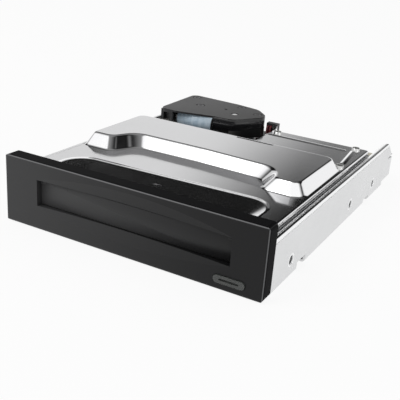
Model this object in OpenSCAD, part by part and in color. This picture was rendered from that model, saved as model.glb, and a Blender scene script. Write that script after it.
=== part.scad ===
// Removable-cartridge disk drive for a 3.5-inch bay, as separate parts in one shared frame.
// Units mm. X across, Y from the front bezel to the rear, Z up, bottom face at Z = 0.

/* [Envelope] */
// width over the front bezel
bezel_width = 101.6; // [98:0.1:108]
// height of the front bezel
bezel_height = 25; // [24:0.1:30]
// thickness of the bezel, front to back
bezel_depth = 5.7; // [5:0.1:8]
// from the bezel face to the rear end of the rails
drive_depth = 139; // [135:0.5:160]
// width over the side rails
frame_width = 101.4; // [98:0.1:107]
// height of the side rails
rail_height = 18.7; // [17.5:0.1:20]
// height of the top cover's flat sheet
cover_top = 20.3; // [19.8:0.1:23]
// width of the top cover
cover_width = 94.6; // [92:0.1:96]
// rear edge of the top cover
cover_rear = 110.6; // [106:0.1:116]
// height of the raised deck above the cover sheet
deck_rise = 4.5; // [2:0.1:6]
// top of the gear housing
housing_top = 25.4; // [24.6:0.1:30]

/* [Mounting] */
// first side hole behind the bezel face
side_hole_y = 21; // [18:0.1:26]
// side hole height above the bottom
side_hole_z = 6.35; // [5.5:0.05:8]
// first to second side hole
side_pitch_a = 60; // [55:0.1:64]
// second to third side hole
side_pitch_b = 30; // [26:0.1:36]
// radius of the mounting threads
mount_r = 1.5; // [1:0.05:2]
// thread length in the frame
mount_length = 2; // [1.4:0.1:2.4]
// bottom hole spacing across
bottom_pitch_x = 75; // [66:0.5:80]
// bottom hole spacing front to back
bottom_pitch_y = 70; // [60:0.5:76]
// front bottom holes behind the bezel face
bottom_hole_y = 31; // [26:0.5:36]

/* [Door and button] */
// left side of the door opening, from the centre
door_left = 36.4; // [34:0.1:38]
// right side of the door opening, from the centre
door_right = 39; // [36:0.1:40.5]
// bottom of the door opening
door_bottom = 9; // [8.5:0.1:10]
// height of the door opening
door_height = 9.5; // [8:0.1:9.6]
// thickness of the door flap
door_thickness = 1; // [0.8:0.05:1.2]
// height of the upper finger scoop
scoop_up = 4.6; // [2:0.1:5.2]
// height of the lower finger scoop
scoop_down = 4; // [2:0.1:4.6]
// depth of the scoops at the door
scoop_depth = 1.6; // [0.6:0.1:1.9]
// length of the eject button
button_length = 10.9; // [8:0.1:12]
// height of the eject button
button_height = 2.7; // [2:0.1:3.2]
// centre of the eject button, sideways
button_x = 39.25; // [36:0.05:41]
// centre of the eject button, upward
button_z = 3.9; // [3.6:0.05:4.4]
// travel of the eject button
button_travel = 1; // [0.5:0.1:1.4]

/* [Loading gear] */
// travel of the loading slide
slide_travel = 8; // [4:0.1:9]
// module of the reduction gears
gear_module = 0.45; // [0.4:0.01:0.48]
// module of the rack and its pinion
rack_module = 0.5; // [0.4:0.01:0.54]
// diameter of the loading motor
motor_diameter = 9.6; // [7:0.1:10.4]
// length of the loading motor
motor_length = 17.6; // [12:0.1:18]

/* [Head arm] */
// pivot to the head tips
arm_length = 24; // [18:0.1:25]
// radius of the pivot shaft
pivot_r = 2; // [1.2:0.05:2.6]
// running gap of round bearings
bearing_gap = 0.04; // [0.02:0.01:0.08]

/* [Sheet metal] */
// thickness of the outer frame
frame_sheet = 0.8; // [0.6:0.05:1]
// thickness of the top cover
cover_sheet = 0.6; // [0.5:0.05:0.8]
// width of the rail's top flange
flange_width = 2.4; // [1.4:0.1:2.7]
// thickness of the circuit board
board_thickness = 1.2; // [0.8:0.05:1.6]

/* [Hidden] */
$fn = 48;
fine = 96;
over = 1;
touch = 0.3;
gap = 0.3;
slim = 0.15;
front_proud = 0.4;
full_depth = drive_depth + front_proud;
origin_y = front_proud - full_depth / 2;
half_bezel = bezel_width / 2;
half_frame = frame_width / 2;
half_cover = cover_width / 2;

// shared plan positions
isolator_x = 42.9;
isolator_spots = [[-isolator_x, 14], [isolator_x, 14], [-41.4, 113], [isolator_x, 118]];
bottom_spots = [for (x = [-1, 1]) for (n = [0, 1]) [x * bottom_pitch_x / 2, bottom_hole_y + n * bottom_pitch_y]];
side_rows = [side_hole_y, side_hole_y + side_pitch_a, side_hole_y + side_pitch_a + side_pitch_b];
board_spots = [[-43.4, 40], [43.4, 40], [-43.4, 88], [43.4, 88]];

// board and tray levels
board_z = 2.8;
board_top = board_z + board_thickness;
tray_z = 7.2;
tray_floor = 1.4;
tray_top = tray_z + tray_floor;
tray_half = half_cover - cover_sheet - slim;
tray_wall = 1.2;
tray_front = bezel_depth + 0.9;
tray_rear = 123.2;
under_cover = cover_top - cover_sheet;
board_front = 13;
board_rear = 127;
board_half = 46;

// cartridge bay
bay_left = -door_left;
bay_right = door_right;
bay_rear = 80;
guide_wall = 1.6;
lip_z = 17.6;
door_top = door_bottom + door_height;

// gear housing plan
hs_left = -45;
hs_front = 94.6;
hs_split = 20.2;
hs_lip = 0.4;
hs_corners = [[hs_left + 0.8, 91, 3], [-35.6, 90.6, 3], [-19, hs_front, 10], [-9.6, 95.4, 5], [-0.4, 110.6, 5],
  [-8.6, 119.3, 7], [-20.1, 121.5, 20], [hs_left, 123.2, 3]];
hs_bottom = 16.5;
hs_floor = 0.8;
hs_plate = 0.8;
hs_wall = 1;
hs_inner_top = housing_top - hs_plate;
motor_x0 = -37.6;
motor_y = 97.8;
motor_z = 20.95;
motor_r = motor_diameter / 2;
motor_flat = 3.45;

// gear train
wheel_teeth = 24;
pinion_teeth = 10;
idler_teeth = 28;
rack_pinion_teeth = 12;
worm_pitch_r = 1.2;
wheel_r = wheel_teeth * gear_module / 2;
small_r = pinion_teeth * gear_module / 2;
idler_r = idler_teeth * gear_module / 2;
rack_r = rack_pinion_teeth * rack_module / 2;
worm_pitch = PI * gear_module;
wheel_x = -13.6;
wheel_y = motor_y + worm_pitch_r + wheel_r;
mesh_angle = 145;
idler_x = wheel_x + (small_r + idler_r) * cos(mesh_angle);
idler_y = wheel_y + (small_r + idler_r) * sin(mesh_angle);
rack_x = idler_x - rack_r;
wheel_z0 = 20.15;
wheel_z1 = 21.75;
small_z0 = 17.6;
small_z1 = 19.4;
rack_z0 = 9.3;
axle_r = 0.8;
wheel_phase = 270;
small_phase = mesh_angle;
idler_phase = mesh_angle + 180 + 180 / idler_teeth;
rack_phase = 180;

// slide plan
slide_left = -44.7;
slide_right = -39;
slide_z0 = 8.9;
slide_z1 = 11.3;
slide_front = 56;
slide_rear = 113.7;

// head arm plan
pivot_x = 20;
pivot_y = 93;
arm_rest = 205;
arm_z = 12.5;
arm_half = 0.6;
hub_r = 4;
coil_angle = arm_rest - 180;
plate_r0 = 7;
plate_r1 = 15.4;
plate_a0 = 0;
plate_a1 = 96;
plate_thick = 1.2;
magnet_thick = 1.2;
lower_plate_z = tray_top;
upper_plate_z = 15;

module in_frame() translate([0, origin_y, 0]) children();

module slab(x0, x1, y0, y1, z0, z1) translate([x0, y0, z0]) cube([x1 - x0, y1 - y0, z1 - z0]);

// rounded rectangle, exact arcs
module rrect(x0, x1, y0, y1, r) {
  translate([x0 + r, y0]) square([x1 - x0 - 2 * r, y1 - y0]);
  translate([x0, y0 + r]) square([x1 - x0, y1 - y0 - 2 * r]);
  for (x = [x0 + r, x1 - r]) for (y = [y0 + r, y1 - r]) translate([x, y]) circle(r);
}

module rslab(x0, x1, y0, y1, z0, z1, r) translate([0, 0, z0]) linear_extrude(z1 - z0) rrect(x0, x1, y0, y1, r);

// a plan profile in X and Z, run along Y
module along_y(y0, y1) translate([0, y1, 0]) rotate([90, 0, 0]) linear_extrude(y1 - y0) children();

// a profile in Y and Z, run along X
module along_x(x0, x1) translate([x0, 0, 0]) rotate([90, 0, 90]) linear_extrude(x1 - x0) children();

module rod_z(x, y, z0, z1, r) translate([x, y, z0]) cylinder(h = z1 - z0, r = r);

module rod_y(x, z, y0, y1, r) translate([x, y0, z]) rotate([-90, 0, 0]) cylinder(h = y1 - y0, r = r);

module rod_x(y, z, x0, x1, r) translate([x0, y, z]) rotate([0, 90, 0]) cylinder(h = x1 - x0, r = r);

// ring sector in plan
module sector(r0, r1, a0, a1) {
  mid = (a0 + a1) / 2;
  reach = 2 * r1;
  intersection() {
    difference() {
      circle(r1, $fn = fine);
      circle(r0, $fn = fine);
    }
    polygon([[0, 0], [reach * cos(a0), reach * sin(a0)], [reach * cos(mid), reach * sin(mid)],
      [reach * cos(a1), reach * sin(a1)]]);
  }
}

// tube through a list of points
function unit3(v) = v / norm(v);
function path_dir(p, i) = unit3(p[min(i + 1, len(p) - 1)] - p[max(i - 1, 0)]);
function carry(n, t) = unit3(n - (n * t) * t);
function frames(p, n, i) = i == len(p) ? [] : let(m = carry(n, path_dir(p, i))) concat([m], frames(p, m, i + 1));
module tube(p, r, sides, seed) {
  side = frames(p, seed, 0);
  ring = [for (i = [0 : len(p) - 1]) let(n = side[i], b = cross(path_dir(p, i), n))
    for (k = [0 : sides - 1]) p[i] + r * (n * cos(360 * k / sides) + b * sin(360 * k / sides))];
  faces = concat(
    [[for (k = [0 : sides - 1]) k]],
    [for (i = [0 : len(p) - 2]) for (k = [0 : sides - 1]) let(j = (k + 1) % sides)
      [i * sides + k, (i + 1) * sides + k, (i + 1) * sides + j]],
    [for (i = [0 : len(p) - 2]) for (k = [0 : sides - 1]) let(j = (k + 1) % sides)
      [i * sides + k, (i + 1) * sides + j, i * sides + j]],
    [[for (k = [sides - 1 : -1 : 0]) (len(p) - 1) * sides + k]]);
  polyhedron(ring, faces, convexity = 6);
}

// spur gear in plan with a tooth at the phase angle
gear_half_share = 0.215;
gear_tip_share = 0.26;
gear_add_share = 0.85;
gear_ded_share = 1.2;
module gear_plan(teeth, m, phase) {
  pr = teeth * m / 2;
  half = 180 / PI * (PI * m * gear_half_share) / pr;
  ra = pr + gear_add_share * m;
  rd = pr - gear_ded_share * m;
  tip = half * pr / ra * (1 - gear_tip_share * 2);
  root = half * 1.25;
  polygon([for (n = [0 : teeth - 1]) let(a = phase + n * 360 / teeth)
    for (q = [[rd, -root], [pr, -half], [ra, -tip], [ra, tip], [pr, half], [rd, root]])
      [q[0] * cos(a + q[1]), q[0] * sin(a + q[1])]]);
}

// ---------- front ----------
edge_r = 0.9;
corner_r = 1.6;
rim = 1.6;
skin = 3.5;
tunnel_wall = 1.8;
axis_y = 2.9;
axis_z = door_top - 1.2;
pin_r = 0.5;
ear_r = 1.1;
ear_w = 2;
pin_reach = 1.4;
notch_x0 = -30;
notch_x1 = -26.6;
button_gap = 0.15;
flange_y0 = 3.7;
flange_y1 = 4.6;
flange_more = 0.7;
tab_x = 26;
tab_half = 4;
tab_rear = 13;
tab_top = 2.7;
scoop_more = 0.6;

module scoop(mid_x, edge_z, rise, way) {
  chord = (door_left + door_right) / 2 + scoop_more;
  big = (chord * chord + rise * rise) / (2 * rise);
  slope = rise / scoop_depth;
  far = scoop_depth * 1.6;
  intersection() {
    translate([mid_x, 0, edge_z + way * (rise - big)]) rotate([-90, 0, 0])
      cylinder(h = far, r1 = big, r2 = big - slope * far, $fn = 720);
    slab(mid_x - chord - over, mid_x + chord + over, -over, far, min(edge_z, edge_z + way * (rise + over)),
      max(edge_z, edge_z + way * (rise + over)));
  }
}

module bezel() color("dimgray") in_frame() {
  door_mid = (door_right - door_left) / 2;
  difference() {
    union() {
      intersection() {
        along_x(-half_bezel, half_bezel) {
          translate([edge_r, 0]) square([bezel_depth - edge_r, bezel_height]);
          translate([0, edge_r]) square([bezel_depth, bezel_height - 2 * edge_r]);
          for (z = [edge_r, bezel_height - edge_r]) translate([edge_r, z]) circle(edge_r);
        }
        linear_extrude(bezel_height) {
          translate([-half_bezel, edge_r]) square([bezel_width, bezel_depth - edge_r]);
          translate([-half_bezel + edge_r, 0]) square([bezel_width - 2 * edge_r, bezel_depth]);
          for (x = [edge_r - half_bezel, half_bezel - edge_r]) translate([x, edge_r]) circle(edge_r);
        }
        along_y(-over, bezel_depth + over) rrect(-half_bezel, half_bezel, 0, bezel_height, corner_r);
      }
      for (s = [-1, 1]) slab(s * tab_x - tab_half, s * tab_x + tab_half, bezel_depth - rim, tab_rear,
        frame_sheet, tab_top);
    }
    // rear pocket around the door tunnel and the button boss
    difference() {
      slab(rim - half_bezel, half_bezel - rim, skin, bezel_depth + over, tab_top, bezel_height - rim);
      slab(-door_left - tunnel_wall, door_right + tunnel_wall, 0, bezel_depth + 2 * over,
        door_bottom - tunnel_wall, door_top + tunnel_wall);
    }
    slab(-door_left, door_right, -over, bezel_depth + over, door_bottom, door_top);
    scoop(door_mid, door_top, scoop_up, 1);
    scoop(door_mid, door_bottom, scoop_down, -1);
    // hinge holes, spring notch
    rod_x(axis_y, axis_z, -door_left - pin_reach - touch, door_right + pin_reach + touch, pin_r + bearing_gap);
    slab(notch_x0 - gap, notch_x1 + gap, axis_y - ear_r, bezel_depth + over, door_top - over,
      door_top + ear_r);
    // button hole and its flange room
    along_y(-over, skin + over) pill(button_gap);
    slab(button_x - button_length / 2 - flange_more - gap, button_x + button_length / 2 + flange_more + gap,
      skin, bezel_depth + over, button_z - button_height / 2 - flange_more - gap,
      button_z + button_height / 2 + flange_more + gap);
    for (s = [-1, 1]) rod_z(s * tab_x, (bezel_depth + tab_rear) / 2 + over, 0, tab_top + over, 1);
  }
}

module media_door() color("black") in_frame() {
  x0 = -door_left + gap;
  x1 = door_right - gap;
  y0 = axis_y + 0.1;
  difference() {
    union() {
      slab(x0, x1, y0, y0 + door_thickness, door_bottom + gap, axis_z);
      intersection() {
        rod_x(axis_y, axis_z, x0, x1, ear_r);
        slab(x0 - over, x1 + over, y0, y0 + door_thickness, axis_z - over, axis_z + 2 * over);
      }
      for (x = [x0, x1 - ear_w]) rod_x(axis_y, axis_z, x, x + ear_w, ear_r);
      // stiffening lip on the inside of the lower edge
      slab(x0 + 2 * over, x1 - 2 * over, y0 + door_thickness - touch, y0 + door_thickness + 0.5,
        door_bottom + 2 * gap, door_bottom + 1.4);
    }
    slab(notch_x0, notch_x1, y0 - over, y0 + 2 * over, axis_z - ear_r - gap, axis_z + 2 * over);
  }
  rod_x(axis_y, axis_z, x0 - pin_reach, x0 + touch, pin_r);
  rod_x(axis_y, axis_z, x1 - touch, x1 + pin_reach, pin_r);
  rod_x(axis_y, axis_z, notch_x0 - touch, notch_x1 + touch, pin_r - 0.1);
  intersection() {
    union() {
      rod_x(axis_y, axis_z, notch_x0 - ear_w, notch_x0, ear_r);
      rod_x(axis_y, axis_z, notch_x1, notch_x1 + ear_w, ear_r);
    }
    slab(notch_x0 - ear_w, notch_x1 + ear_w, axis_y - ear_r, y0 + door_thickness, axis_z - ear_r, axis_z + ear_r);
  }
}

door_wire = 0.15;
door_coil_r = 0.65;
door_turns = 3;
door_leg = 4;
module door_spring() color("silver") in_frame() {
  x0 = notch_x0 + 0.6;
  step = (notch_x1 - notch_x0 - 1.2) / door_turns;
  steps = 12;
  coil = [for (i = [0 : door_turns * steps]) let(a = 90 + 360 * i / steps)
    [x0 + step * i / steps, axis_y + door_coil_r * cos(a), axis_z + door_coil_r * sin(a)]];
  last = coil[len(coil) - 1];
  tube(concat([[x0, axis_y + door_leg * 0.28, axis_z + door_coil_r]], coil,
    [[last[0], axis_y - door_coil_r * 0.4, last[2]]]), door_wire, 6, [1, 0, 0]);
}

module stadium(x, z, half, r) {
  translate([x + r - half, z - r]) square([2 * (half - r), 2 * r]);
  for (s = [-1, 1]) translate([x + s * (half - r), z]) circle(r);
}
module pill(more) stadium(button_x, button_z, button_length / 2 + more, button_height / 2 + more);

stem_r = 0.8;
stem_end = 8.6;
lens_x = 3.4;
lens_z = 0.35;
lens_depth = 0.7;
spring_x = 4;
spring_r = 0.9;
button_wire = 0.16;
button_turns = 5;
front_plate_y = 9.9;
module eject_button() color([0.5, 0.55, 0.6, 0.7]) in_frame() {
  difference() {
    along_y(-front_proud, flange_y0 + touch) pill(0);
    along_y(-front_proud - over, lens_depth - front_proud) stadium(button_x, button_z, lens_x, lens_z);
  }
  along_y(flange_y0, flange_y1) rrect(button_x - button_length / 2 - flange_more,
    button_x + button_length / 2 + flange_more, button_z - button_height / 2 - flange_more,
    button_z + button_height / 2 + flange_more, over);
  rod_y(button_x, button_z, flange_y1 - touch, stem_end - button_travel - slim, stem_r);
  for (s = [-1, 1]) rod_y(button_x + s * spring_x, button_z, flange_y1 - touch, flange_y1 + 1.4, spring_r - 0.4);
}

module button_springs() color("silver") in_frame() {
  steps = 8;
  y0 = flange_y1 + button_wire;
  y1 = front_plate_y - button_wire;
  for (s = [-1, 1]) tube([for (i = [0 : button_turns * steps]) let(a = 360 * i / steps, d = i / steps / button_turns)
    [button_x + s * spring_x + spring_r * cos(a), y0 + (y1 - y0) * d, button_z + spring_r * sin(a)]],
    button_wire, 6, [1, 0, 0]);
}

module front_board() color("darkgreen") in_frame() {
  slab(button_x - 7.2, button_x + 6.6, front_plate_y, front_plate_y + over, frame_sheet + touch, tray_z - touch);
}

module eject_switch() color("black") in_frame() {
  slab(button_x - 2, button_x + 2, stem_end + 0.5, front_plate_y, button_z - 1.6, button_z + 1.6);
  rod_y(button_x, button_z, stem_end - button_travel + button_travel, stem_end + 0.6, stem_r + 0.2);
}

module status_lamp() color("white") in_frame() {
  slab(button_x - 6.6, button_x - 5.2, front_plate_y - 0.8, front_plate_y, button_z - 0.4, button_z + 0.4);
}

// ---------- outer frame ----------
bend_r = 1.2;
collar_r = 2.6;
rim_r = 2;
rim_depth = 0.25;
slope_y0 = 130.6;
slope_y1 = 137.8;
slope_z = 12.6;
slot_rows = [[27, 34.5, 3.1], [100, 107.2, 2.2]];
rear_cut = 127;
rear_cut_z = 2.6;
lip_notch_y = 133.2;
lip_notch_z = 11.2;
module outer_frame() color("lightgray") in_frame() difference() {
  union() {
    along_y(bezel_depth, drive_depth) difference() {
      rrect(-half_frame, half_frame, 0, rail_height, bend_r);
      rrect(frame_sheet - half_frame, half_frame - frame_sheet, frame_sheet, rail_height - frame_sheet,
        bend_r - frame_sheet);
      translate([flange_width - half_frame, rail_height / 2]) square([frame_width - 2 * flange_width, rail_height]);
    }
    for (p = bottom_spots) rod_z(p[0], p[1], 0, mount_length, collar_r);
    for (p = board_spots) rod_z(p[0], p[1], 0, board_z, collar_r - 0.4);
    for (p = isolator_spots) rod_z(p[0], p[1], 0, 1.7, 2);
    for (y = side_rows) for (s = [-1, 1]) rod_x(y, side_hole_z, s > 0 ? half_frame - mount_length : -half_frame,
      s > 0 ? half_frame : mount_length - half_frame, collar_r);
  }
  for (p = bottom_spots) rod_z(p[0], p[1], -over, mount_length + over, mount_r);
  for (p = board_spots) rod_z(p[0], p[1], -over, board_z + over, 1);
  for (p = isolator_spots) rod_z(p[0], p[1], -over, 2 + over, 1);
  for (y = side_rows) {
    rod_x(y, side_hole_z, -half_frame - over, half_frame + over, mount_r);
    for (s = [-1, 1]) translate([s * (half_frame + slim), y, side_hole_z]) rotate([0, -s * 90, 0])
      cylinder(h = rim_depth + slim, r1 = rim_r + slim, r2 = mount_r);
  }
  for (s = [-1, 1]) rod_z(s * tab_x, (bezel_depth + tab_rear) / 2 + over, -over, frame_sheet + over, 1.1);
  // bottom edge slots of both rails
  for (r = slot_rows) for (s = [-1, 1]) translate([s * half_frame - 2.4, r[0], -over])
    cube([4.8, r[1] - r[0], r[2] + over]);
  slab(-half_frame - over, half_frame + over, rear_cut, drive_depth + over, -over, rear_cut_z);
  // sloped upper rear corners and the open notch
  along_x(-half_frame - over, half_frame + over) polygon([[slope_y0, rail_height], [slope_y1, slope_z],
    [drive_depth + over, slope_z], [drive_depth + over, rail_height + over], [slope_y0, rail_height + over]]);
  slab(-half_frame - over, half_frame + over, lip_notch_y, drive_depth + over, lip_notch_z, lip_notch_z + over);
}

screw_r = 0.95;
module pan_head(x, y, z, r, h) rotate_extrude_at(x, y, z) difference() {
  union() {
    square([r, h * 0.6]);
    square([r * 0.75, h]);
    translate([r * 0.75, h * 0.6]) intersection() {
      circle(r * 0.25);
      square(r);
    }
  }
}
module rotate_extrude_at(x, y, z) translate([x, y, z]) rotate_extrude($fn = 40) children();
module cross_recess(x, y, z, r, deep) translate([x, y, z - deep]) linear_extrude(deep + over) {
  square([r, r * 0.28], center = true);
  square([r * 0.28, r], center = true);
}

module bezel_screws() color("silver") in_frame() for (s = [-1, 1]) difference() {
  union() {
    rod_z(s * tab_x, (bezel_depth + tab_rear) / 2 + over, 0.2, tab_top, screw_r);
    rod_z(s * tab_x, (bezel_depth + tab_rear) / 2 + over, tab_top, tab_top + 1.2, 1.9);
  }
  cross_recess(s * tab_x, (bezel_depth + tab_rear) / 2 + over, tab_top + 1.2, 1.8, 0.6);
}

module shock_mounts() color([0.1, 0.1, 0.1]) in_frame() for (p = isolator_spots) rotate_extrude_at(p[0], p[1], 0)
  difference() {
    union() {
      translate([1.3, 1.7]) square([1.7, 3.9]);
      translate([1.3, 5.6]) square([1.15, 2.95]);
      translate([1.3, tray_top - 0.1]) square([0.6, 0.9]);
    }
    translate([3, 3.6]) circle(0.6);
  }

module mount_screws() color("silver") in_frame() for (p = isolator_spots) difference() {
  union() {
    rod_z(p[0], p[1], 0.2, 1.7, 0.95);
    rod_z(p[0], p[1], 1.7, tray_top + 0.8, 1.25);
    pan_head(p[0], p[1], tray_top + 0.8, 1.9, 1.2);
  }
  cross_recess(p[0], p[1], tray_top + 2, 1.9, 0.6);
}

// ---------- electronics ----------
module circuit_board() color("darkgreen") in_frame() difference() {
  rslab(-board_half, board_half, board_front, board_rear, board_z, board_top, over);
  for (p = isolator_spots) rod_z(p[0], p[1], board_z - over, board_top + over, 4.1);
  for (p = board_spots) rod_z(p[0], p[1], board_z - over, board_top + over, 1.15);
  for (p = bottom_spots) rod_z(p[0], p[1], board_z - over, board_top + over, 2.4);
}

module board_screws() color("silver") in_frame() for (p = board_spots) difference() {
  union() {
    rod_z(p[0], p[1], 0.3, board_top, 0.95);
    pan_head(p[0], p[1], board_top, 1.9, 1.2);
  }
  cross_recess(p[0], p[1], board_top + 1.2, 1.9, 0.6);
}

chip_rise = 1.6;
module quad_chip(x, y, w, d, leads) {
  slab(x - w / 2, x + w / 2, y - d / 2, y + d / 2, board_top + 0.1, board_top + chip_rise);
  for (n = [0 : leads - 1]) let(t = (n + 0.5) / leads - 0.5) {
    for (s = [-1, 1]) slab(x + t * w - 0.15, x + t * w + 0.15, y + s * (d / 2 + 0.4) - 0.5,
      y + s * (d / 2 + 0.4) + 0.5, board_top, board_top + 0.5);
  }
}
module processor_chip() color([0.12, 0.12, 0.13]) in_frame() quad_chip(-8, 62, 20, 20, 24);
module memory_chips() color([0.12, 0.12, 0.13]) in_frame() for (y = [34, 44]) quad_chip(14, y, 18, 7.6, 22);
module motor_driver() color([0.12, 0.12, 0.13]) in_frame() quad_chip(20, 78, 10, 10, 12);
cap_spots = [[30, 60], [30, 66], [30, 72], [-30, 60], [-30, 66], [-24, 96], [-18, 96], [4, 100], [10, 100]];
module capacitors() color("tan") in_frame() for (p = cap_spots) slab(p[0] - 1.6, p[0] + 1.6, p[1] - 0.9,
  p[1] + 0.9, board_top, board_top + 1.5);

conn_front = 129;
conn_rear = 138;
data_x0 = -44;
data_x1 = 13.4;
data_z0 = 1.3;
data_z1 = 10.4;
pin_pitch = 2.54;
pin_half = 0.32;
power_x0 = 24.4;
power_x1 = 45.6;
power_z0 = 0.9;
power_z1 = 11;
jump_x0 = 15.4;
jump_x1 = 22.4;
jump_z0 = 2.8;
jump_z1 = 8.2;
pin_front = 125.2;
foot_in = 0.6;
data_foot = 3;
foot_high = 0.8;
module data_connector() color("black") in_frame() {
  mid = (data_x0 + data_x1) / 2;
  zm = (data_z0 + data_z1) / 2;
  difference() {
    slab(data_x0, data_x1, conn_front, conn_rear, data_z0, data_z1);
    slab(data_x0 + over, data_x1 - over, conn_front + 2, conn_rear + over, data_z0 + over, data_z1 - over);
    slab(mid - 2.2, mid + 2.2, conn_front + 2, conn_rear + over, data_z1 - 2 * over, data_z1 + over);
    for (n = [0 : 19]) for (r = [-1, 1]) slab(mid + (n - 9.5) * pin_pitch - pin_half,
      mid + (n - 9.5) * pin_pitch + pin_half, conn_front - over, conn_front + 3, zm + r * pin_pitch / 2 - pin_half,
      zm + r * pin_pitch / 2 + pin_half);
  }
  // feet on the board, outside the pins
  for (x = [[data_x0 + foot_in, data_x0 + foot_in + data_foot], [data_x1 - foot_in - data_foot, data_x1 - foot_in]])
    slab(x[0], x[1], board_rear - 2, conn_front + touch, board_top, board_top + foot_high);
}
module data_pins() color("gold") in_frame() {
  mid = (data_x0 + data_x1) / 2;
  zm = (data_z0 + data_z1) / 2;
  for (n = [0 : 19]) for (r = [-1, 1]) if (n != 9 || r > 0) {
    x = mid + (n - 9.5) * pin_pitch;
    z = zm + r * pin_pitch / 2;
    y = pin_front - r * pin_pitch / 2;
    slab(x - pin_half, x + pin_half, y - pin_half, conn_rear - 1.4, z - pin_half, z + pin_half);
    slab(x - pin_half, x + pin_half, y - pin_half, y + pin_half, board_top, z);
  }
}
module power_connector() color("ivory") in_frame() {
  zm = (power_z0 + power_z1) / 2;
  mid = (power_x0 + power_x1) / 2;
  difference() {
    slab(power_x0, power_x1, conn_front, conn_rear, power_z0, power_z1);
    difference() {
      slab(power_x0 + over, power_x1 - over, conn_front + 2, conn_rear + over, power_z0 + over, power_z1 - over);
      for (s = [-1, 1]) translate([s > 0 ? power_x1 - over : power_x0 + over, conn_front, power_z1 - over])
        rotate([0, 45, 0]) cube([2.4, 3 * conn_rear, 2.4], center = true);
    }
    for (n = [0 : 3]) rod_y(mid + (n - 1.5) * 5.08, zm, conn_front - over, conn_front + 3, 1.05);
  }
  for (x = [power_x0 + foot_in, power_x1 - foot_in - data_foot / 2])
    slab(x, x + data_foot / 2, board_rear - 2, conn_front + touch, board_top, board_top + foot_high);
}
module power_pins() color("gold") in_frame() {
  zm = (power_z0 + power_z1) / 2;
  mid = (power_x0 + power_x1) / 2;
  for (n = [0 : 3]) {
    rod_y(mid + (n - 1.5) * 5.08, zm, pin_front, conn_rear - 1.6, 1.05);
    slab(mid + (n - 1.5) * 5.08 - 0.7, mid + (n - 1.5) * 5.08 + 0.7, pin_front + 0.4, pin_front + 1.4, board_top,
      zm);
  }
}
module jumper_block() color("black") in_frame() difference() {
  slab(jump_x0, jump_x1, conn_front, conn_front + 2.6, jump_z0, jump_z1);
  for (n = [-1, 0, 1]) for (r = [-1, 1]) slab(jump_mid() + n * 2 - 0.25, jump_mid() + n * 2 + 0.25,
    conn_front - over, conn_rear, jump_zm() + r - 0.25, jump_zm() + r + 0.25);
}
function jump_mid() = (jump_x0 + jump_x1) / 2;
function jump_zm() = (jump_z0 + jump_z1) / 2;
module jumper_pins() color("gold") in_frame() for (n = [-1, 0, 1]) for (r = [-1, 1]) {
  x = jump_mid() + n * 2;
  z = jump_zm() + r;
  y = pin_front - r * 0.8;
  slab(x - 0.25, x + 0.25, y - 0.25, conn_rear - 1.2, z - 0.25, z + 0.25);
  slab(x - 0.25, x + 0.25, y - 0.25, y + 0.25, board_top, z);
}
module jumper_cap() color("black") in_frame() difference() {
  slab(jump_mid() - 1, jump_mid() + 1, conn_front + 2.6, conn_rear - 0.4, jump_zm() - 2, jump_zm() + 2);
  for (r = [-1, 1]) slab(jump_mid() - 0.25, jump_mid() + 0.25, conn_front, conn_rear - 1.2,
    jump_zm() + r - 0.25, jump_zm() + r + 0.25);
}

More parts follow.
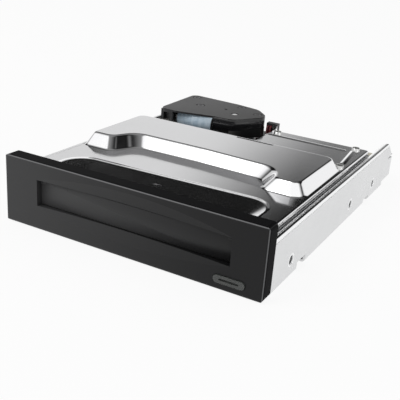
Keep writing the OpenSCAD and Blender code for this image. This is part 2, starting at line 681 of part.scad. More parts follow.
// ---------- inner chassis ----------
ledge = 0.5;
ledge_z0 = 17.2;
ledge_z1 = 18.6;
wall_rear = 109.6;
cut_x = 3;
cut_y = 90;
cut_r = 2;
post_r = 1.9;
screw_depth = 4;
cover_spots = [[44.2, 80.6], [42.3, 107.4], [-44.4, 84.4], [7, 106.8]];
filter_x = 31;
housing_posts = [[-41.4, 119.4], [-41.4, 106.5]];
housing_post_r = 1.9;
left_post_z = 12.2;
module inner_chassis() color("gray") in_frame() difference() {
  union() {
    rslab(-tray_half, tray_half, tray_front, tray_rear, tray_z, tray_top, 2);
    // side walls with the ledge below the cover's edge
    for (s = [-1, 1]) {
      translate([s > 0 ? tray_half - tray_wall : -tray_half, tray_front + 2, tray_z])
        cube([tray_wall, (s > 0 ? wall_rear : cut_y - cover_sheet - touch) - tray_front - 2, under_cover - tray_z]);
      translate([s > 0 ? tray_half - touch : -tray_half - cover_sheet - slim - ledge, tray_front + 2, ledge_z0])
        cube([cover_sheet + slim + ledge + touch, (s > 0 ? wall_rear : cut_y - cover_sheet - touch) - tray_front - 2,
          ledge_z1 - ledge_z0]);
    }
    slab(-tray_half, tray_wall - tray_half, cut_y - over, tray_rear - 2, tray_z, hs_bottom);
    slab(tray_half - tray_wall, tray_half, wall_rear - over, tray_rear - 2, tray_z, 11);
    // rear wall under the cover and the lower wall behind the housing
    slab(cut_x + 1, tray_half, wall_rear - tray_wall, wall_rear, tray_z, under_cover);
    slab(-tray_half + 2, tray_half - 2, tray_rear - tray_wall, tray_rear, tray_z, 11);
    slab(-tray_half + 2, -3, tray_rear - tray_wall, tray_rear, tray_z, 12.6);
    for (p = cover_spots) rod_z(p[0], p[1], p[0] < -tray_half / 2 ? left_post_z : tray_z, under_cover, post_r);
    for (p = housing_posts) rod_z(p[0], p[1], tray_z, hs_bottom, housing_post_r);
    // pads under the housing
    slab(-22, -19.6, 117.6, tray_rear - over, tray_z, hs_bottom);
    slab(-8.4, -6.4, 112, 116.6, tray_z, hs_bottom);
  }
  for (p = isolator_spots) {
    rod_z(p[0], p[1], tray_z - over, tray_top + over, 2.5);
    rod_z(p[0], p[1], tray_top, under_cover + over, 2.4);
  }
  for (p = cover_spots) rod_z(p[0], p[1], under_cover - screw_depth, under_cover + over, 0.8);
  for (p = housing_posts) rod_z(p[0], p[1], hs_bottom - screw_depth, hs_bottom + over, 0.8);
  rod_z(pivot_x, pivot_y, tray_z - over, tray_top + over, 1.6);
  rod_z(idler_x, idler_y, tray_z - over, tray_top + over, axle_r);
  // weight windows in the floor, clear of the guides
  for (x = [-24, 0, 24]) rslab(x - 9, x + 9, 24, 62, tray_z - over, tray_top + over, 3);
}

guide_foot = 1.1;
slot_y0 = 55;
slot_y1 = 66;
module guide(x0, x1, inner) {
  slab(x0, x1, tray_front + 0.4, bay_rear, tray_top, lip_z);
  slab(min(inner, x0), max(inner, x1), tray_front + 6, bay_rear, tray_top, door_bottom - slim / 2);
}
module guide_left() color("ivory") in_frame() difference() {
  guide(bay_left - guide_wall, bay_left - slim, bay_left + guide_foot);
  slab(bay_left - guide_wall - over, bay_left + over, slot_y0 - 2, slot_y1 + 4, door_bottom + slim, 14.4);
}
module guide_right() color("ivory") in_frame() {
  guide(bay_right + slim, bay_right + guide_wall, bay_right - guide_foot);
}

// ---------- top cover ----------
function arc_corner(a, b, c, r, n) =
  let(u = (a - b) / norm(a - b), v = (c - b) / norm(c - b), half = acos(u * v) / 2,
    w = (u + v) / norm(u + v), mid = b + w * r / sin(half), reach = r / tan(half),
    p0 = b + u * reach, p1 = b + v * reach, a0 = atan2(p0[1] - mid[1], p0[0] - mid[0]),
    a1 = atan2(p1[1] - mid[1], p1[0] - mid[0]), d = (a1 - a0 + 540) % 360 - 180)
  [for (i = [0 : n]) mid + r * [cos(a0 + d * i / n), sin(a0 + d * i / n)]];
function ring_of(c, n) = [for (i = [0 : len(c) - 1]) let(b = c[i], a = c[(i + len(c) - 1) % len(c)],
  d = c[(i + 1) % len(c)]) each arc_corner([a[0], a[1]], [b[0], b[1]], [d[0], d[1]], b[2], n)];

// solid between two rings of equal count
module loft(low, high, z0, z1) {
  n = len(low);
  polyhedron(concat([for (p = low) [p[0], p[1], z0]], [for (p = high) [p[0], p[1], z1]]),
    concat([[for (i = [0 : n - 1]) i]], [[for (i = [n - 1 : -1 : 0]) n + i]],
      [for (i = [0 : n - 1]) let(j = (i + 1) % n) [j, i, n + i]],
      [for (i = [0 : n - 1]) let(j = (i + 1) % n) [j, n + i, n + j]]), convexity = 8);
}

deck_left = -44.6;
deck_right = 43;
deck_rear = 76.5;
deck_top_plan = [[deck_left, 42.5, 2], [-35.8, 42.7, 2.4], [-31.2, 52.6, 6], [0, 52.7, 30], [30.6, 51, 5],
  [33.9, 41, 2], [deck_right, 41, 2], [deck_right, deck_rear, 2.4], [deck_left, deck_rear, 2.4]];
deck_low_plan = [[deck_left - 1.7, 37.9, 3.4], [-33, 38, 3.4], [-28.2, 48.4, 5], [0, 49, 30], [27.2, 48.2, 4],
  [30.3, 38.9, 3.4], [deck_right + 2.8, 38.7, 3.4], [deck_right + 2.8, deck_rear + 2, 3.4],
  [deck_left - 1.7, deck_rear + 2, 3.4]];
recess_front = 4;
recess_left = -42.4;
recess_right = 39.8;
recess_drop = 0.9;
recess_top_plan = [[recess_left, recess_front, 0.5], [recess_right, recess_front, 0.5], [recess_right, 28.2, 8],
  [recess_left, 25.2, 8]];
recess_low_plan = [[recess_left + 7, recess_front, 0.4], [recess_right - 3.4, recess_front, 0.4],
  [recess_right - 3.4, 18.4, 6], [recess_left + 7, 16.4, 6]];
cover_front = bezel_depth + 0.3;
skirt_z = 19.1;
rib_rise = 0.6;
rear_rib_y = 103;
arc_steps = 8;

module cover_sheet_plan(inset) difference() {
  translate([inset - half_cover, cover_front - over]) square([cover_width - 2 * inset,
    cover_rear - cover_front + over - inset]);
  translate([-half_cover - over, cut_y - inset]) square([half_cover + over + cut_x + inset - cut_r, cover_rear]);
  translate([-half_cover - over, cut_y - inset + cut_r]) square([half_cover + over + cut_x + inset, cover_rear]);
  translate([cut_x + inset - cut_r, cut_y - inset + cut_r]) circle(cut_r);
}

// raised bead with sloping flanks, its foot sunk in the sheet
bead_slope_share = 0.5;
function pill_ring(d, r, n) = concat([for (i = [0 : n]) [d + r * sin(180 * i / n), -r * cos(180 * i / n)]],
  [for (i = [0 : n]) [-r * sin(180 * i / n), r * cos(180 * i / n)]]);
module bead(a, b, r, rise) translate([a[0], a[1], 0]) rotate([0, 0, atan2(b[1] - a[1], b[0] - a[0])])
  loft(pill_ring(norm(b - a), r + touch * bead_slope_share, arc_steps), pill_ring(norm(b - a), r * bead_slope_share,
    arc_steps), -touch, rise);

// plan corners moved inward by d, with inner and outer corners kept parallel
function turn(v) = [-v[1], v[0]];
function inset_plan(c, d) = [for (i = [0 : len(c) - 1]) let(n = len(c), b = [c[i][0], c[i][1]],
  a = [c[(i + n - 1) % n][0], c[(i + n - 1) % n][1]], e = [c[(i + 1) % n][0], c[(i + 1) % n][1]],
  p = turn((b - a) / norm(b - a)), q = turn((e - b) / norm(e - b)), m = (p + q) / (1 + p * q),
  side = p[0] * q[1] - p[1] * q[0] > 0 ? 1 : -1) [b[0] + m[0] * d, b[1] + m[1] * d, c[i][2] - side * d]];

// the wall continued past its end, as plan corners
function past(low, high, k) = [for (i = [0 : len(low) - 1]) high[i] + (high[i] - low[i]) * k];

// triangles of a wavy top, counterclockwise, fanned from its two rear corners
function top_fans(n, apex, mid) = concat(
  [for (q = [1 : n + mid - 1 - apex]) let(k = (apex + q) % n) [apex, k, (k + 1) % n]],
  [for (k = [mid : apex - 3]) [apex - 1, k, k + 1]], [[apex - 1, apex, mid]]);

// thin-walled cap: outer and inner rims at one level, each with its own top
module cap_shell(outer_rim, outer_top, inner_rim, inner_top, z_rim, z_out, z_in, apex, mid) {
  n = len(outer_rim);
  polyhedron(concat([for (p = outer_rim) [p[0], p[1], z_rim]], [for (p = outer_top) [p[0], p[1], z_out]],
      [for (p = inner_rim) [p[0], p[1], z_rim]], [for (p = inner_top) [p[0], p[1], z_in]]),
    concat([for (t = top_fans(n, apex, mid)) [n + t[0], n + t[2], n + t[1]]],
      [for (t = top_fans(n, apex, mid)) [3 * n + t[0], 3 * n + t[1], 3 * n + t[2]]],
      [for (i = [0 : n - 1]) let(j = (i + 1) % n) each [[j, i, n + i], [j, n + i, n + j],
        [2 * n + i, 2 * n + j, 3 * n + i], [3 * n + i, 2 * n + j, 3 * n + j],
        [i, j, 2 * n + j], [i, 2 * n + j, 2 * n + i]]]), convexity = 8);
}

skin_share = 0.55;
hole_share = 0.25;
rim_share = (cover_sheet - touch) / deck_rise;
inner_top_plan = inset_plan(deck_top_plan, cover_sheet * skin_share);
inner_low_plan = inset_plan(deck_low_plan, cover_sheet * skin_share);
module deck_shell() cap_shell(ring_of(past(deck_top_plan, deck_low_plan, touch / deck_rise), arc_steps),
  ring_of(deck_top_plan, arc_steps), ring_of(past(inner_top_plan, inner_low_plan, -rim_share), arc_steps),
  ring_of(inner_top_plan, arc_steps), cover_top - touch, cover_top + deck_rise, under_cover + deck_rise,
  (len(deck_top_plan) - 1) * (arc_steps + 1), 3 * (arc_steps + 1) + arc_steps / 2);

module recess_body(drop, inset) {
  high = inset_plan(recess_top_plan, inset);
  low = inset_plan(recess_low_plan, inset);
  translate([0, 0, -drop]) loft(ring_of(low, arc_steps), ring_of(past(low, high, touch / recess_drop), arc_steps),
    cover_top - recess_drop, cover_top + touch);
}
module top_cover() color("silver") in_frame() difference() {
  union() {
    difference() {
      union() {
        translate([0, 0, under_cover]) linear_extrude(cover_sheet) difference() {
          cover_sheet_plan(0);
          polygon(ring_of(inset_plan(deck_low_plan, cover_sheet * hole_share), arc_steps));
        }
        translate([0, 0, skirt_z]) linear_extrude(cover_top - skirt_z - touch) difference() {
          cover_sheet_plan(0);
          cover_sheet_plan(cover_sheet);
          translate([-half_cover, 0]) square([cover_width, 2 * cover_front]);
        }
        deck_shell();
        recess_body(cover_sheet, -cover_sheet * skin_share);
      }
      recess_body(0, 0);
    }
    translate([0, 0, cover_top]) {
      bead([5, rear_rib_y], [38.4, rear_rib_y], 1.6, rib_rise);
      bead([42.3, 104], [43.9, 86], 1.6, rib_rise);
    }
    // small tab over the rear edge
    slab(36.6, 39.2, cover_rear - over, cover_rear + 0.7, under_cover - 1.6, cover_top - 0.1);
  }
  translate([-half_cover - over, -over, under_cover - 3 * over]) cube([cover_width + 2 * over, cover_front + over,
    6 * over]);
  for (p = cover_spots) rod_z(p[0], p[1], under_cover - over, cover_top + over, 1.1);
  rslab(4.2, 9.2, 20.4, 22.4, cover_top - 3 * over, cover_top + over, 0.8);
}

module cover_screws() color("silver") in_frame() for (p = cover_spots) difference() {
  union() {
    rod_z(p[0], p[1], under_cover - screw_depth + 0.5, cover_top, 0.78);
    pan_head(p[0], p[1], cover_top, 1.7, 0.9);
  }
  cross_recess(p[0], p[1], cover_top + 0.9, 1.8, 0.5);
}

// ---------- gear housing ----------
plate_screws = [[-5.4, 111.2], [-16.4, 117.4], [-32.9, 107.6], [-41.4, 119.4]];
// corners moved inward by d along their bisectors
function inward(c, d) = [for (i = [0 : len(c) - 1]) let(n = len(c), b = [c[i][0], c[i][1]],
  a = [c[(i + n - 1) % n][0], c[(i + n - 1) % n][1]], e = [c[(i + 1) % n][0], c[(i + 1) % n][1]],
  u = (a - b) / norm(a - b), v = (e - b) / norm(e - b), half = acos(u * v) / 2,
  q = b + (u + v) / norm(u + v) * d / sin(half)) [q[0], q[1], c[i][2] - d]];
module housing_plan(inset) polygon(ring_of(inward(hs_corners, inset), 2 * arc_steps));

module motor_bay(z0, z1) slab(-37.8, -19.4, hs_front - 6, motor_y + motor_r + 0.4, z0, z1);

module gear_housing() color([0.2, 0.2, 0.21]) in_frame() difference() {
  union() {
    translate([0, 0, hs_bottom]) linear_extrude(hs_floor) housing_plan(-hs_lip / 2);
    translate([0, 0, hs_bottom]) linear_extrude(hs_split - hs_bottom) difference() {
      housing_plan(-hs_lip / 2);
      housing_plan(hs_wall);
    }
    for (p = plate_screws) rod_z(p[0], p[1], hs_bottom, hs_inner_top, 1.6);
    // bearing walls of the worm
    slab(-19.4, -18.4, hs_front + 0.4, motor_y + 1.8, hs_bottom, hs_split + 2.6);
    slab(-10.3, -9.9, motor_y - 0.9, motor_y + 1, hs_bottom, hs_split + 2.6);
    slab(hs_left + 0.6, -38.4, hs_front - 2, hs_front + 8, hs_bottom, hs_split);
  }
  motor_bay(hs_bottom + hs_floor, hs_split + over);
  rod_x(motor_y, motor_z, -20, -18, 1.9);
  rod_x(motor_y, motor_z, -11, -8, worm_end_r + bearing_gap);
  for (p = plate_screws) rod_z(p[0], p[1], hs_bottom - over, hs_inner_top + over, 0.8);
  rod_z(idler_x, idler_y, hs_bottom - over, hs_bottom + hs_floor + over, rack_r + 0.8);
  rod_z(wheel_x, wheel_y, hs_bottom - over, hs_bottom + hs_floor + over, axle_r);
}
worm_end_r = 0.6;

dimple = 0.35;
module housing_plate() color([0.13, 0.13, 0.14]) in_frame() difference() {
  union() {
    translate([0, 0, hs_inner_top]) linear_extrude(hs_plate) housing_plan(0);
    translate([0, 0, hs_split]) linear_extrude(hs_inner_top - hs_split + touch) difference() {
      housing_plan(0);
      housing_plan(hs_wall);
    }
    // square bracket block on the left of the motor
    slab(hs_left + 0.8, -38.4, hs_front - 3, hs_front + 8, hs_split, hs_inner_top + touch);
  }
  motor_bay(hs_split - over, hs_inner_top);
  slab(-42.8, -39.4, hs_front - 4, hs_front - 1.6, hs_split - over, hs_inner_top - 0.8);
  for (p = plate_screws) {
    rod_z(p[0], p[1], hs_inner_top - over, housing_top + over, 1.05);
    rod_z(p[0], p[1], housing_top - dimple, housing_top + over, 2);
  }
  for (p = [[wheel_x, wheel_y], [idler_x, idler_y]]) {
    rod_z(p[0], p[1], hs_inner_top - over, housing_top + over, axle_r);
  }
  rod_z(wheel_x, wheel_y, housing_top - dimple, housing_top + over, 1.9);
}

module housing_screws() color([0.3, 0.3, 0.32]) in_frame() for (p = plate_screws) difference() {
  union() {
    rod_z(p[0], p[1], hs_bottom + 1, housing_top - dimple, 0.78);
    rod_z(p[0], p[1], housing_top - dimple, housing_top - 0.05, 1.6);
  }
  cross_recess(p[0], p[1], housing_top - 0.05, 1.6, 0.25);
}

module can_plan(more) intersection() {
  circle(motor_r + more, $fn = fine);
  square([motor_diameter + 4, 2 * (motor_flat + more)], center = true);
}
sleeve = 0.15;
module loading_motor() color("silver") in_frame() {
  translate([0, motor_y, motor_z]) {
    rotate([90, 0, 90]) translate([0, 0, motor_x0]) linear_extrude(motor_length) can_plan(0);
  }
  rod_x(motor_y, motor_z, motor_x0 - 0.6, motor_x0 + touch, 1.8);
  difference() {
    rod_x(motor_y, motor_z, motor_x0 + motor_length - touch, motor_x0 + motor_length + 0.9, 1.8);
    rod_x(motor_y, motor_z, motor_x0 + motor_length, motor_x0 + motor_length + over, worm_end_r + bearing_gap);
  }
}
module motor_sleeve() color("lightsteelblue") in_frame() difference() {
  translate([0, motor_y, motor_z]) rotate([90, 0, 90]) translate([0, 0, motor_x0 + 1])
    linear_extrude(motor_length - 2.4) can_plan(sleeve);
  translate([0, motor_y, motor_z]) rotate([90, 0, 90]) translate([0, 0, motor_x0 - over])
    linear_extrude(motor_length + 2 * over) can_plan(0);
}

worm_x0 = wheel_x - 3.2;
worm_x1 = wheel_x + 3.2;
thread_half = 0.17;
thread_tip = 0.1;
thread_steps = 16;
worm_core_r = worm_pitch_r - 1.15 * gear_module;
worm_tip_r = worm_pitch_r + 0.8 * gear_module;
module worm_shaft() color("gainsboro") in_frame() {
  turns = floor((worm_x1 - worm_x0 - worm_pitch) / worm_pitch);
  start = wheel_x + worm_pitch / 2 - worm_pitch * floor(turns / 2 + 0.5);
  n = turns * thread_steps;
  prof = [[-thread_half * 1.3, worm_core_r - 0.1], [-thread_tip, worm_tip_r], [thread_tip, worm_tip_r],
    [thread_half * 1.3, worm_core_r - 0.1]];
  pts = [for (i = [0 : n]) let(a = 360 * i / thread_steps) for (q = prof)
    [start + worm_pitch * i / thread_steps + q[0], motor_y + q[1] * cos(a), motor_z + q[1] * sin(a)]];
  faces = concat([[3, 2, 1, 0]], [for (i = [0 : n - 1]) for (k = [0 : 3]) let(j = (k + 1) % 4)
    [4 * i + k, 4 * i + j, 4 * i + 4 + j]], [for (i = [0 : n - 1]) for (k = [0 : 3]) let(j = (k + 1) % 4)
    [4 * i + k, 4 * i + 4 + j, 4 * i + 4 + k]], [[4 * n, 4 * n + 1, 4 * n + 2, 4 * n + 3]]);
  polyhedron(pts, faces, convexity = 8);
  rod_x(motor_y, motor_z, worm_x0, worm_x1, worm_core_r);
  rod_x(motor_y, motor_z, motor_x0 + motor_length + 0.1, worm_x0 + touch, worm_end_r);
  rod_x(motor_y, motor_z, worm_x1 - touch, worm_x1 + 0.5, worm_end_r);
}

module worm_wheel() color("ivory") in_frame() difference() {
  union() {
    translate([wheel_x, wheel_y, wheel_z0]) linear_extrude(wheel_z1 - wheel_z0)
      gear_plan(wheel_teeth, gear_module, wheel_phase);
    translate([wheel_x, wheel_y, small_z0]) linear_extrude(wheel_z0 - small_z0 + touch)
      gear_plan(pinion_teeth, gear_module, small_phase);
    rod_z(wheel_x, wheel_y, wheel_z0, hs_inner_top - gap, 1.8);
  }
  rod_z(wheel_x, wheel_y, small_z0 - over, hs_inner_top, axle_r + bearing_gap);
}

module reduction_gear() color("ivory") in_frame() difference() {
  union() {
    translate([idler_x, idler_y, small_z0]) linear_extrude(small_z1 - small_z0)
      gear_plan(idler_teeth, gear_module, idler_phase);
    translate([idler_x, idler_y, rack_z0]) linear_extrude(small_z0 - rack_z0 + touch)
      gear_plan(rack_pinion_teeth, rack_module, rack_phase);
    rod_z(idler_x, idler_y, small_z1 - touch, hs_inner_top - gap, 1.8);
  }
  rod_z(idler_x, idler_y, rack_z0 - over, hs_inner_top, axle_r + bearing_gap);
}

module wheel_axle() color("silver") in_frame() {
  rod_z(wheel_x, wheel_y, hs_bottom, housing_top - 0.1, axle_r);
  rod_z(wheel_x, wheel_y, housing_top - dimple, housing_top - 0.1, axle_r + 0.3);
}
module idler_axle() color("silver") in_frame() rod_z(idler_x, idler_y, tray_z + 0.1, housing_top - 0.2, axle_r);

// ---------- loading slide ----------
rack_y0 = -12.2;
rack_y1 = 4;
module loading_slide() color([0.85, 0.85, 0.8]) in_frame() {
  pitch = PI * rack_module;
  half = pitch * gear_half_share;
  add = gear_add_share * rack_module;
  ded = gear_ded_share * rack_module;
  n0 = ceil((rack_y0 - pitch / 2) / pitch);
  n1 = floor((rack_y1 - pitch / 2) / pitch);
  plate_y0 = idler_y + (n0 + 0.5) * pitch - 2 * half;
  difference() {
    union() {
      slab(slide_left, slide_right, slide_front, slide_rear, slide_z0, slide_z1);
      slab(slide_right - touch, rack_x - ded, plate_y0, slide_rear, slide_z0, slide_z1);
      translate([0, idler_y, slide_z0]) linear_extrude(slide_z1 - slide_z0)
        for (n = [n0 : n1]) polygon([[rack_x - ded - touch, (n + 0.5) * pitch - half * 1.5],
          [rack_x - ded, (n + 0.5) * pitch - half * 1.3], [rack_x, (n + 0.5) * pitch - half],
          [rack_x + add, (n + 0.5) * pitch - half * 0.45], [rack_x + add, (n + 0.5) * pitch + half * 0.45],
          [rack_x, (n + 0.5) * pitch + half], [rack_x - ded, (n + 0.5) * pitch + half * 1.3],
          [rack_x - ded - touch, (n + 0.5) * pitch + half * 1.5]]);
      // hook into the cartridge through the guide window
      slab(slide_right - over, bay_left + 0.7, slot_y0, slot_y0 + 2.6, slide_z0 + 0.9, slide_z1);
      slab(slide_right - 2.2, slide_right, slot_y0, slot_y0 + 6, slide_z1 - touch, slide_z1 + 1.4);
    }
    // guide slot that rides on the housing posts, and weight windows
    rslab(-43.6, -39.2, 96, 122, slide_z0 - over, slide_z1 + over, 0.5);
    rslab(-43.2, -40.6, 66, 90, slide_z0 - over, slide_z1 + over, 1);
    rslab(-36, -27.6, 101, 113, slide_z0 - over, slide_z1 + over, 1);
  }
}

// ---------- contacts, head arm ----------
contact_x0 = -34;
contact_x1 = -12;
contact_y0 = 84.6;
contact_y1 = 88.6;
contact_z = 15.6;
contact_count = 14;
contact_pitch = 1.4;
module contact_block() color("black") in_frame() difference() {
  slab(contact_x0, contact_x1, contact_y0, contact_y1, tray_top, contact_z);
  for (n = [0 : contact_count - 1]) slab(contact_x(n) - 0.3, contact_x(n) + 0.3, contact_y0 - over,
    contact_y1 + over, 11.6, 12.2);
}
function contact_x(n) = (contact_x0 + contact_x1) / 2 + (n - (contact_count - 1) / 2) * contact_pitch;
module contact_springs() color("gold") in_frame() for (n = [0 : contact_count - 1])
  translate([contact_x(n) - 0.3, 0, 0]) rotate([90, 0, 90]) linear_extrude(0.6) {
    translate([contact_y0 - 1.6, 11.6]) square([contact_y1 - contact_y0 + 2.2, 0.25]);
    translate([contact_y0 - 2.6, 11.6]) polygon([[0, 1.3], [0.3, 1.4], [1.3, 0.25], [1.3, 0], [1.05, 0]]);
    translate([contact_y1 + 0.4, tray_top]) square([0.25, 3.25]);
  }

module pivot_shaft() color("silver") in_frame() {
  rod_z(pivot_x, pivot_y, tray_top, arm_z + 3.4, pivot_r);
  rod_z(pivot_x, pivot_y, tray_z + 0.1, tray_top + touch, 1.6);
  rod_z(pivot_x, pivot_y, tray_top, tray_top + 1.4, pivot_r + 1);
  rod_z(pivot_x, pivot_y, arm_z + 2.9, arm_z + 3.6, pivot_r + 0.8);
}

module on_arm() translate([pivot_x, pivot_y, 0]) rotate([0, 0, arm_rest]) children();
coil_in = 8;
coil_out = 14;
coil_half_angle = 16;
blade_start_share = 0.56;
blade_tip_share = 0.98;
blade = 0.2;
head_gap = 1;
module head_arm() color("lightgray") in_frame() on_arm() difference() {
  union() {
    rod_z(0, 0, arm_z - 2, arm_z + 2.2, hub_r);
    translate([0, 0, arm_z - arm_half]) linear_extrude(2 * arm_half) {
      difference() {
        polygon([[0, -3.6], [arm_length * 0.62, -1.6], [arm_length * 0.62, 1.6], [0, 3.6]]);
        translate([arm_length * 0.36, 0]) circle(1.2);
        translate([arm_length * 0.5, 0]) circle(0.7);
      }
      // fork that holds the coil
      difference() {
        rotate([0, 0, 180]) sector(0.1, coil_in + 1.2, -coil_half_angle - 6, coil_half_angle + 6);
        rotate([0, 0, 180]) sector(coil_in - 0.2, coil_in + 3, -coil_half_angle - 0.6, coil_half_angle + 0.6);
      }
    }
  }
  rod_z(0, 0, arm_z - 4, arm_z + 4, pivot_r + bearing_gap);
}
module voice_coil() color("peru") in_frame() on_arm() translate([0, 0, arm_z - arm_half])
  linear_extrude(2 * arm_half) rotate([0, 0, 180]) difference() {
    sector(coil_in, coil_out, -coil_half_angle, coil_half_angle);
    sector(coil_in + 1.8, coil_out - 1.8, -coil_half_angle * 0.6, coil_half_angle * 0.6);
  }
module suspensions() color("silver") in_frame() on_arm() for (s = [-1, 1])
  translate([0, 0, arm_z + s * arm_half - (s > 0 ? 0 : blade)]) linear_extrude(blade) difference() {
    union() {
      polygon([[arm_length * blade_start_share, -1.5], [arm_length * blade_tip_share, -0.5],
        [arm_length * blade_tip_share, 0.5], [arm_length * blade_start_share, 1.5]]);
      translate([arm_length * blade_tip_share - touch, 0]) square([2.4, 0.5], center = true);
    }
    translate([arm_length * 0.72, 0]) circle(0.45);
  }
module heads() color([0.2, 0.2, 0.22]) in_frame() on_arm() for (s = [-1, 1])
  translate([arm_length * blade_tip_share - 1.8, -0.5, s > 0 ? arm_z + arm_half - 0.35 : arm_z - arm_half])
    cube([1.2, 1, 0.35]);

module magnet_plate_plan() difference() {
  union() {
    sector(plate_r0, plate_r1, plate_a0, plate_a1);
    for (a = [plate_a0 - 4, plate_a1 + 4]) rotate([0, 0, a]) translate([coil_in + 3, 0]) circle(2);
  }
  for (a = [plate_a0 - 4, plate_a1 + 4]) rotate([0, 0, a]) translate([coil_in + 3, 0]) circle(0.9);
}
module lower_magnet_plate() color("silver") in_frame() translate([pivot_x, pivot_y, lower_plate_z])
  linear_extrude(plate_thick) magnet_plate_plan();
module upper_magnet_plate() color("silver") in_frame() translate([pivot_x, pivot_y, upper_plate_z])
  linear_extrude(plate_thick) magnet_plate_plan();
module magnets() color("dimgray") in_frame() for (z = [lower_plate_z + plate_thick, upper_plate_z - magnet_thick])
  translate([pivot_x, pivot_y, z]) linear_extrude(magnet_thick) sector(plate_r0 + 0.6, plate_r1 - 0.6,
    plate_a0 + 4, plate_a1 - 4);
module plate_spacers() color("silver") in_frame() for (a = [plate_a0 - 4, plate_a1 + 4])
  translate([pivot_x + (coil_in + 3) * cos(a), pivot_y + (coil_in + 3) * sin(a), 0]) {
    rod_z(0, 0, lower_plate_z + plate_thick, upper_plate_z, 1.4);
    rod_z(0, 0, tray_top, upper_plate_z + plate_thick + 0.5, 0.88);
    rod_z(0, 0, upper_plate_z + plate_thick, upper_plate_z + plate_thick + 0.9, 1.6);
  }

module head_ramp() color("ivory") in_frame() on_arm() {
  translate([arm_length * blade_tip_share - 0.1, -2, 0]) {
    slab(1.6, 4.4, 0, 4, tray_top, arm_z + 1.6);
    slab(0.2, 1.8, 0, 4, arm_z - 0.35, arm_z + 0.35);
  }
}

flex_w = 2.2;
flex_t = 0.12;
flex_loop_r = 2;
flex_centre = [pivot_x + 6.3, pivot_y - 1.6];
flex_lift = 0.4;
flex_block = [1.6, 2, -0.5, 1.2];
module flex_cable() color("orange") in_frame() {
  translate([flex_centre[0], flex_centre[1], arm_z - flex_w / 2 + flex_lift]) linear_extrude(flex_w) difference() {
    circle(flex_loop_r);
    circle(flex_loop_r - flex_t);
    translate([-flex_loop_r - over, 0]) square([2 * (flex_loop_r + over), flex_loop_r + over]);
  }
  slab(flex_centre[0] + flex_block[0], flex_centre[0] + flex_block[1], flex_centre[1] + flex_block[2],
    flex_centre[1] + flex_block[3], tray_top, arm_z + 2);
}

module air_filter() color("white") in_frame() rslab(filter_x, filter_x + 9, 84.4, 88.4, tray_top, tray_top + 7, 0.6);

// ---------- wiring behind the cover ----------
plug_x0 = -1;
plug_x1 = 4.2;
plug_y0 = 112.2;
plug_y1 = 115;
plug_z0 = 15.6;
plug_z1 = 22.4;
module lead_socket() color("ivory") in_frame() slab(plug_x0 - 0.1, plug_x1 + 0.4, plug_y0, plug_y1 + 0.4,
  tray_top, plug_z0);
module lead_plug() color("black") in_frame() difference() {
  slab(plug_x0, plug_x1, plug_y0, plug_y1, plug_z0, plug_z1);
  for (x = lead_xs) rod_y(x, lead_z, plug_y0 - over, plug_y0 + 1.6, lead_r);
}
lead_r = 0.5;
lead_z = 21;
lead_xs = [-0.1, 1.3];
module motor_leads() color("darkred") in_frame() for (k = [0, 1]) tube([[lead_xs[k], 113.4, lead_z],
  [lead_xs[k], 112, lead_z], [lead_xs[k], 111.5, 20.9], [lead_xs[k], 111.1, 20.5], [lead_xs[k], 111, 20],
  [lead_xs[k], 111, 17.4], [lead_xs[k] - 0.1, 111, 16.4], [lead_xs[k] - 0.4, 111.1, 15.7],
  [lead_xs[k] - 1, 111.3, 15.2 - k * 1.2], [lead_xs[k] - 3, 111.8, 15.1 - k * 1.2],
  [-5.4, 112.2, 15.1 - k * 1.2]], lead_r, 8, [1, 0, 0]);
module rear_tab() color("silver") in_frame() {
  slab(2.5, 4.5, 111.1, 111.7, tray_top, 21.9);
  slab(2.5, 7.6, 111.1, 112, tray_top, tray_top + 0.6);
  slab(plug_x1 + 0.6, 7.6, 111.1, 114, tray_top, tray_top + 0.6);
}

bezel();
media_door();
door_spring();
eject_button();
button_springs();
front_board();
eject_switch();
status_lamp();
outer_frame();
bezel_screws();
shock_mounts();
mount_screws();
circuit_board();
board_screws();
processor_chip();
memory_chips();
motor_driver();
capacitors();
data_connector();
data_pins();
power_connector();
power_pins();
jumper_block();
jumper_pins();
jumper_cap();
inner_chassis();
guide_left();
guide_right();
top_cover();
cover_screws();
gear_housing();
housing_plate();
housing_screws();
loading_motor();
motor_sleeve();
worm_shaft();
worm_wheel();
reduction_gear();
wheel_axle();
idler_axle();
loading_slide();
contact_block();
contact_springs();
pivot_shaft();
head_arm();
voice_coil();
suspensions();
heads();
lower_magnet_plate();
upper_magnet_plate();
magnets();
plate_spacers();
head_ramp();
flex_cable();
air_filter();
lead_plug();
lead_socket();
motor_leads();
rear_tab();
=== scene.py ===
"""Removable-cartridge disk drive: looks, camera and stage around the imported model."""

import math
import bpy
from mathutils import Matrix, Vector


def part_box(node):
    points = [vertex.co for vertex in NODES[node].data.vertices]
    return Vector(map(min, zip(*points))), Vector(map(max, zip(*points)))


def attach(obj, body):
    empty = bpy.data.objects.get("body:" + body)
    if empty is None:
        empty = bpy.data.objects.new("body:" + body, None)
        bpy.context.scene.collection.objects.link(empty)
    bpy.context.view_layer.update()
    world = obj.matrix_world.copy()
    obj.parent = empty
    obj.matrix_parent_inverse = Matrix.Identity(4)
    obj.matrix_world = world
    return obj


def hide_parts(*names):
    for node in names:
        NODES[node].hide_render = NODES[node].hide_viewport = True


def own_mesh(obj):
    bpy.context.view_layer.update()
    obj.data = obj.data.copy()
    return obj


bl_info = {
    "name": "Cartridge Drive Studio",
    "version": (1, 0, 0),
    "blender": (4, 5, 0),
    "location": "3D View > Sidebar > Drive",
    "description": "Dresses the cartridge drive with finishes, pressed sheet parts and a studio",
    "category": "Object",
}

import bpy
from bpy.props import FloatProperty, FloatVectorProperty, IntProperty, PointerProperty
from mathutils import Matrix, Vector
from mathutils.geometry import tessellate_polygon

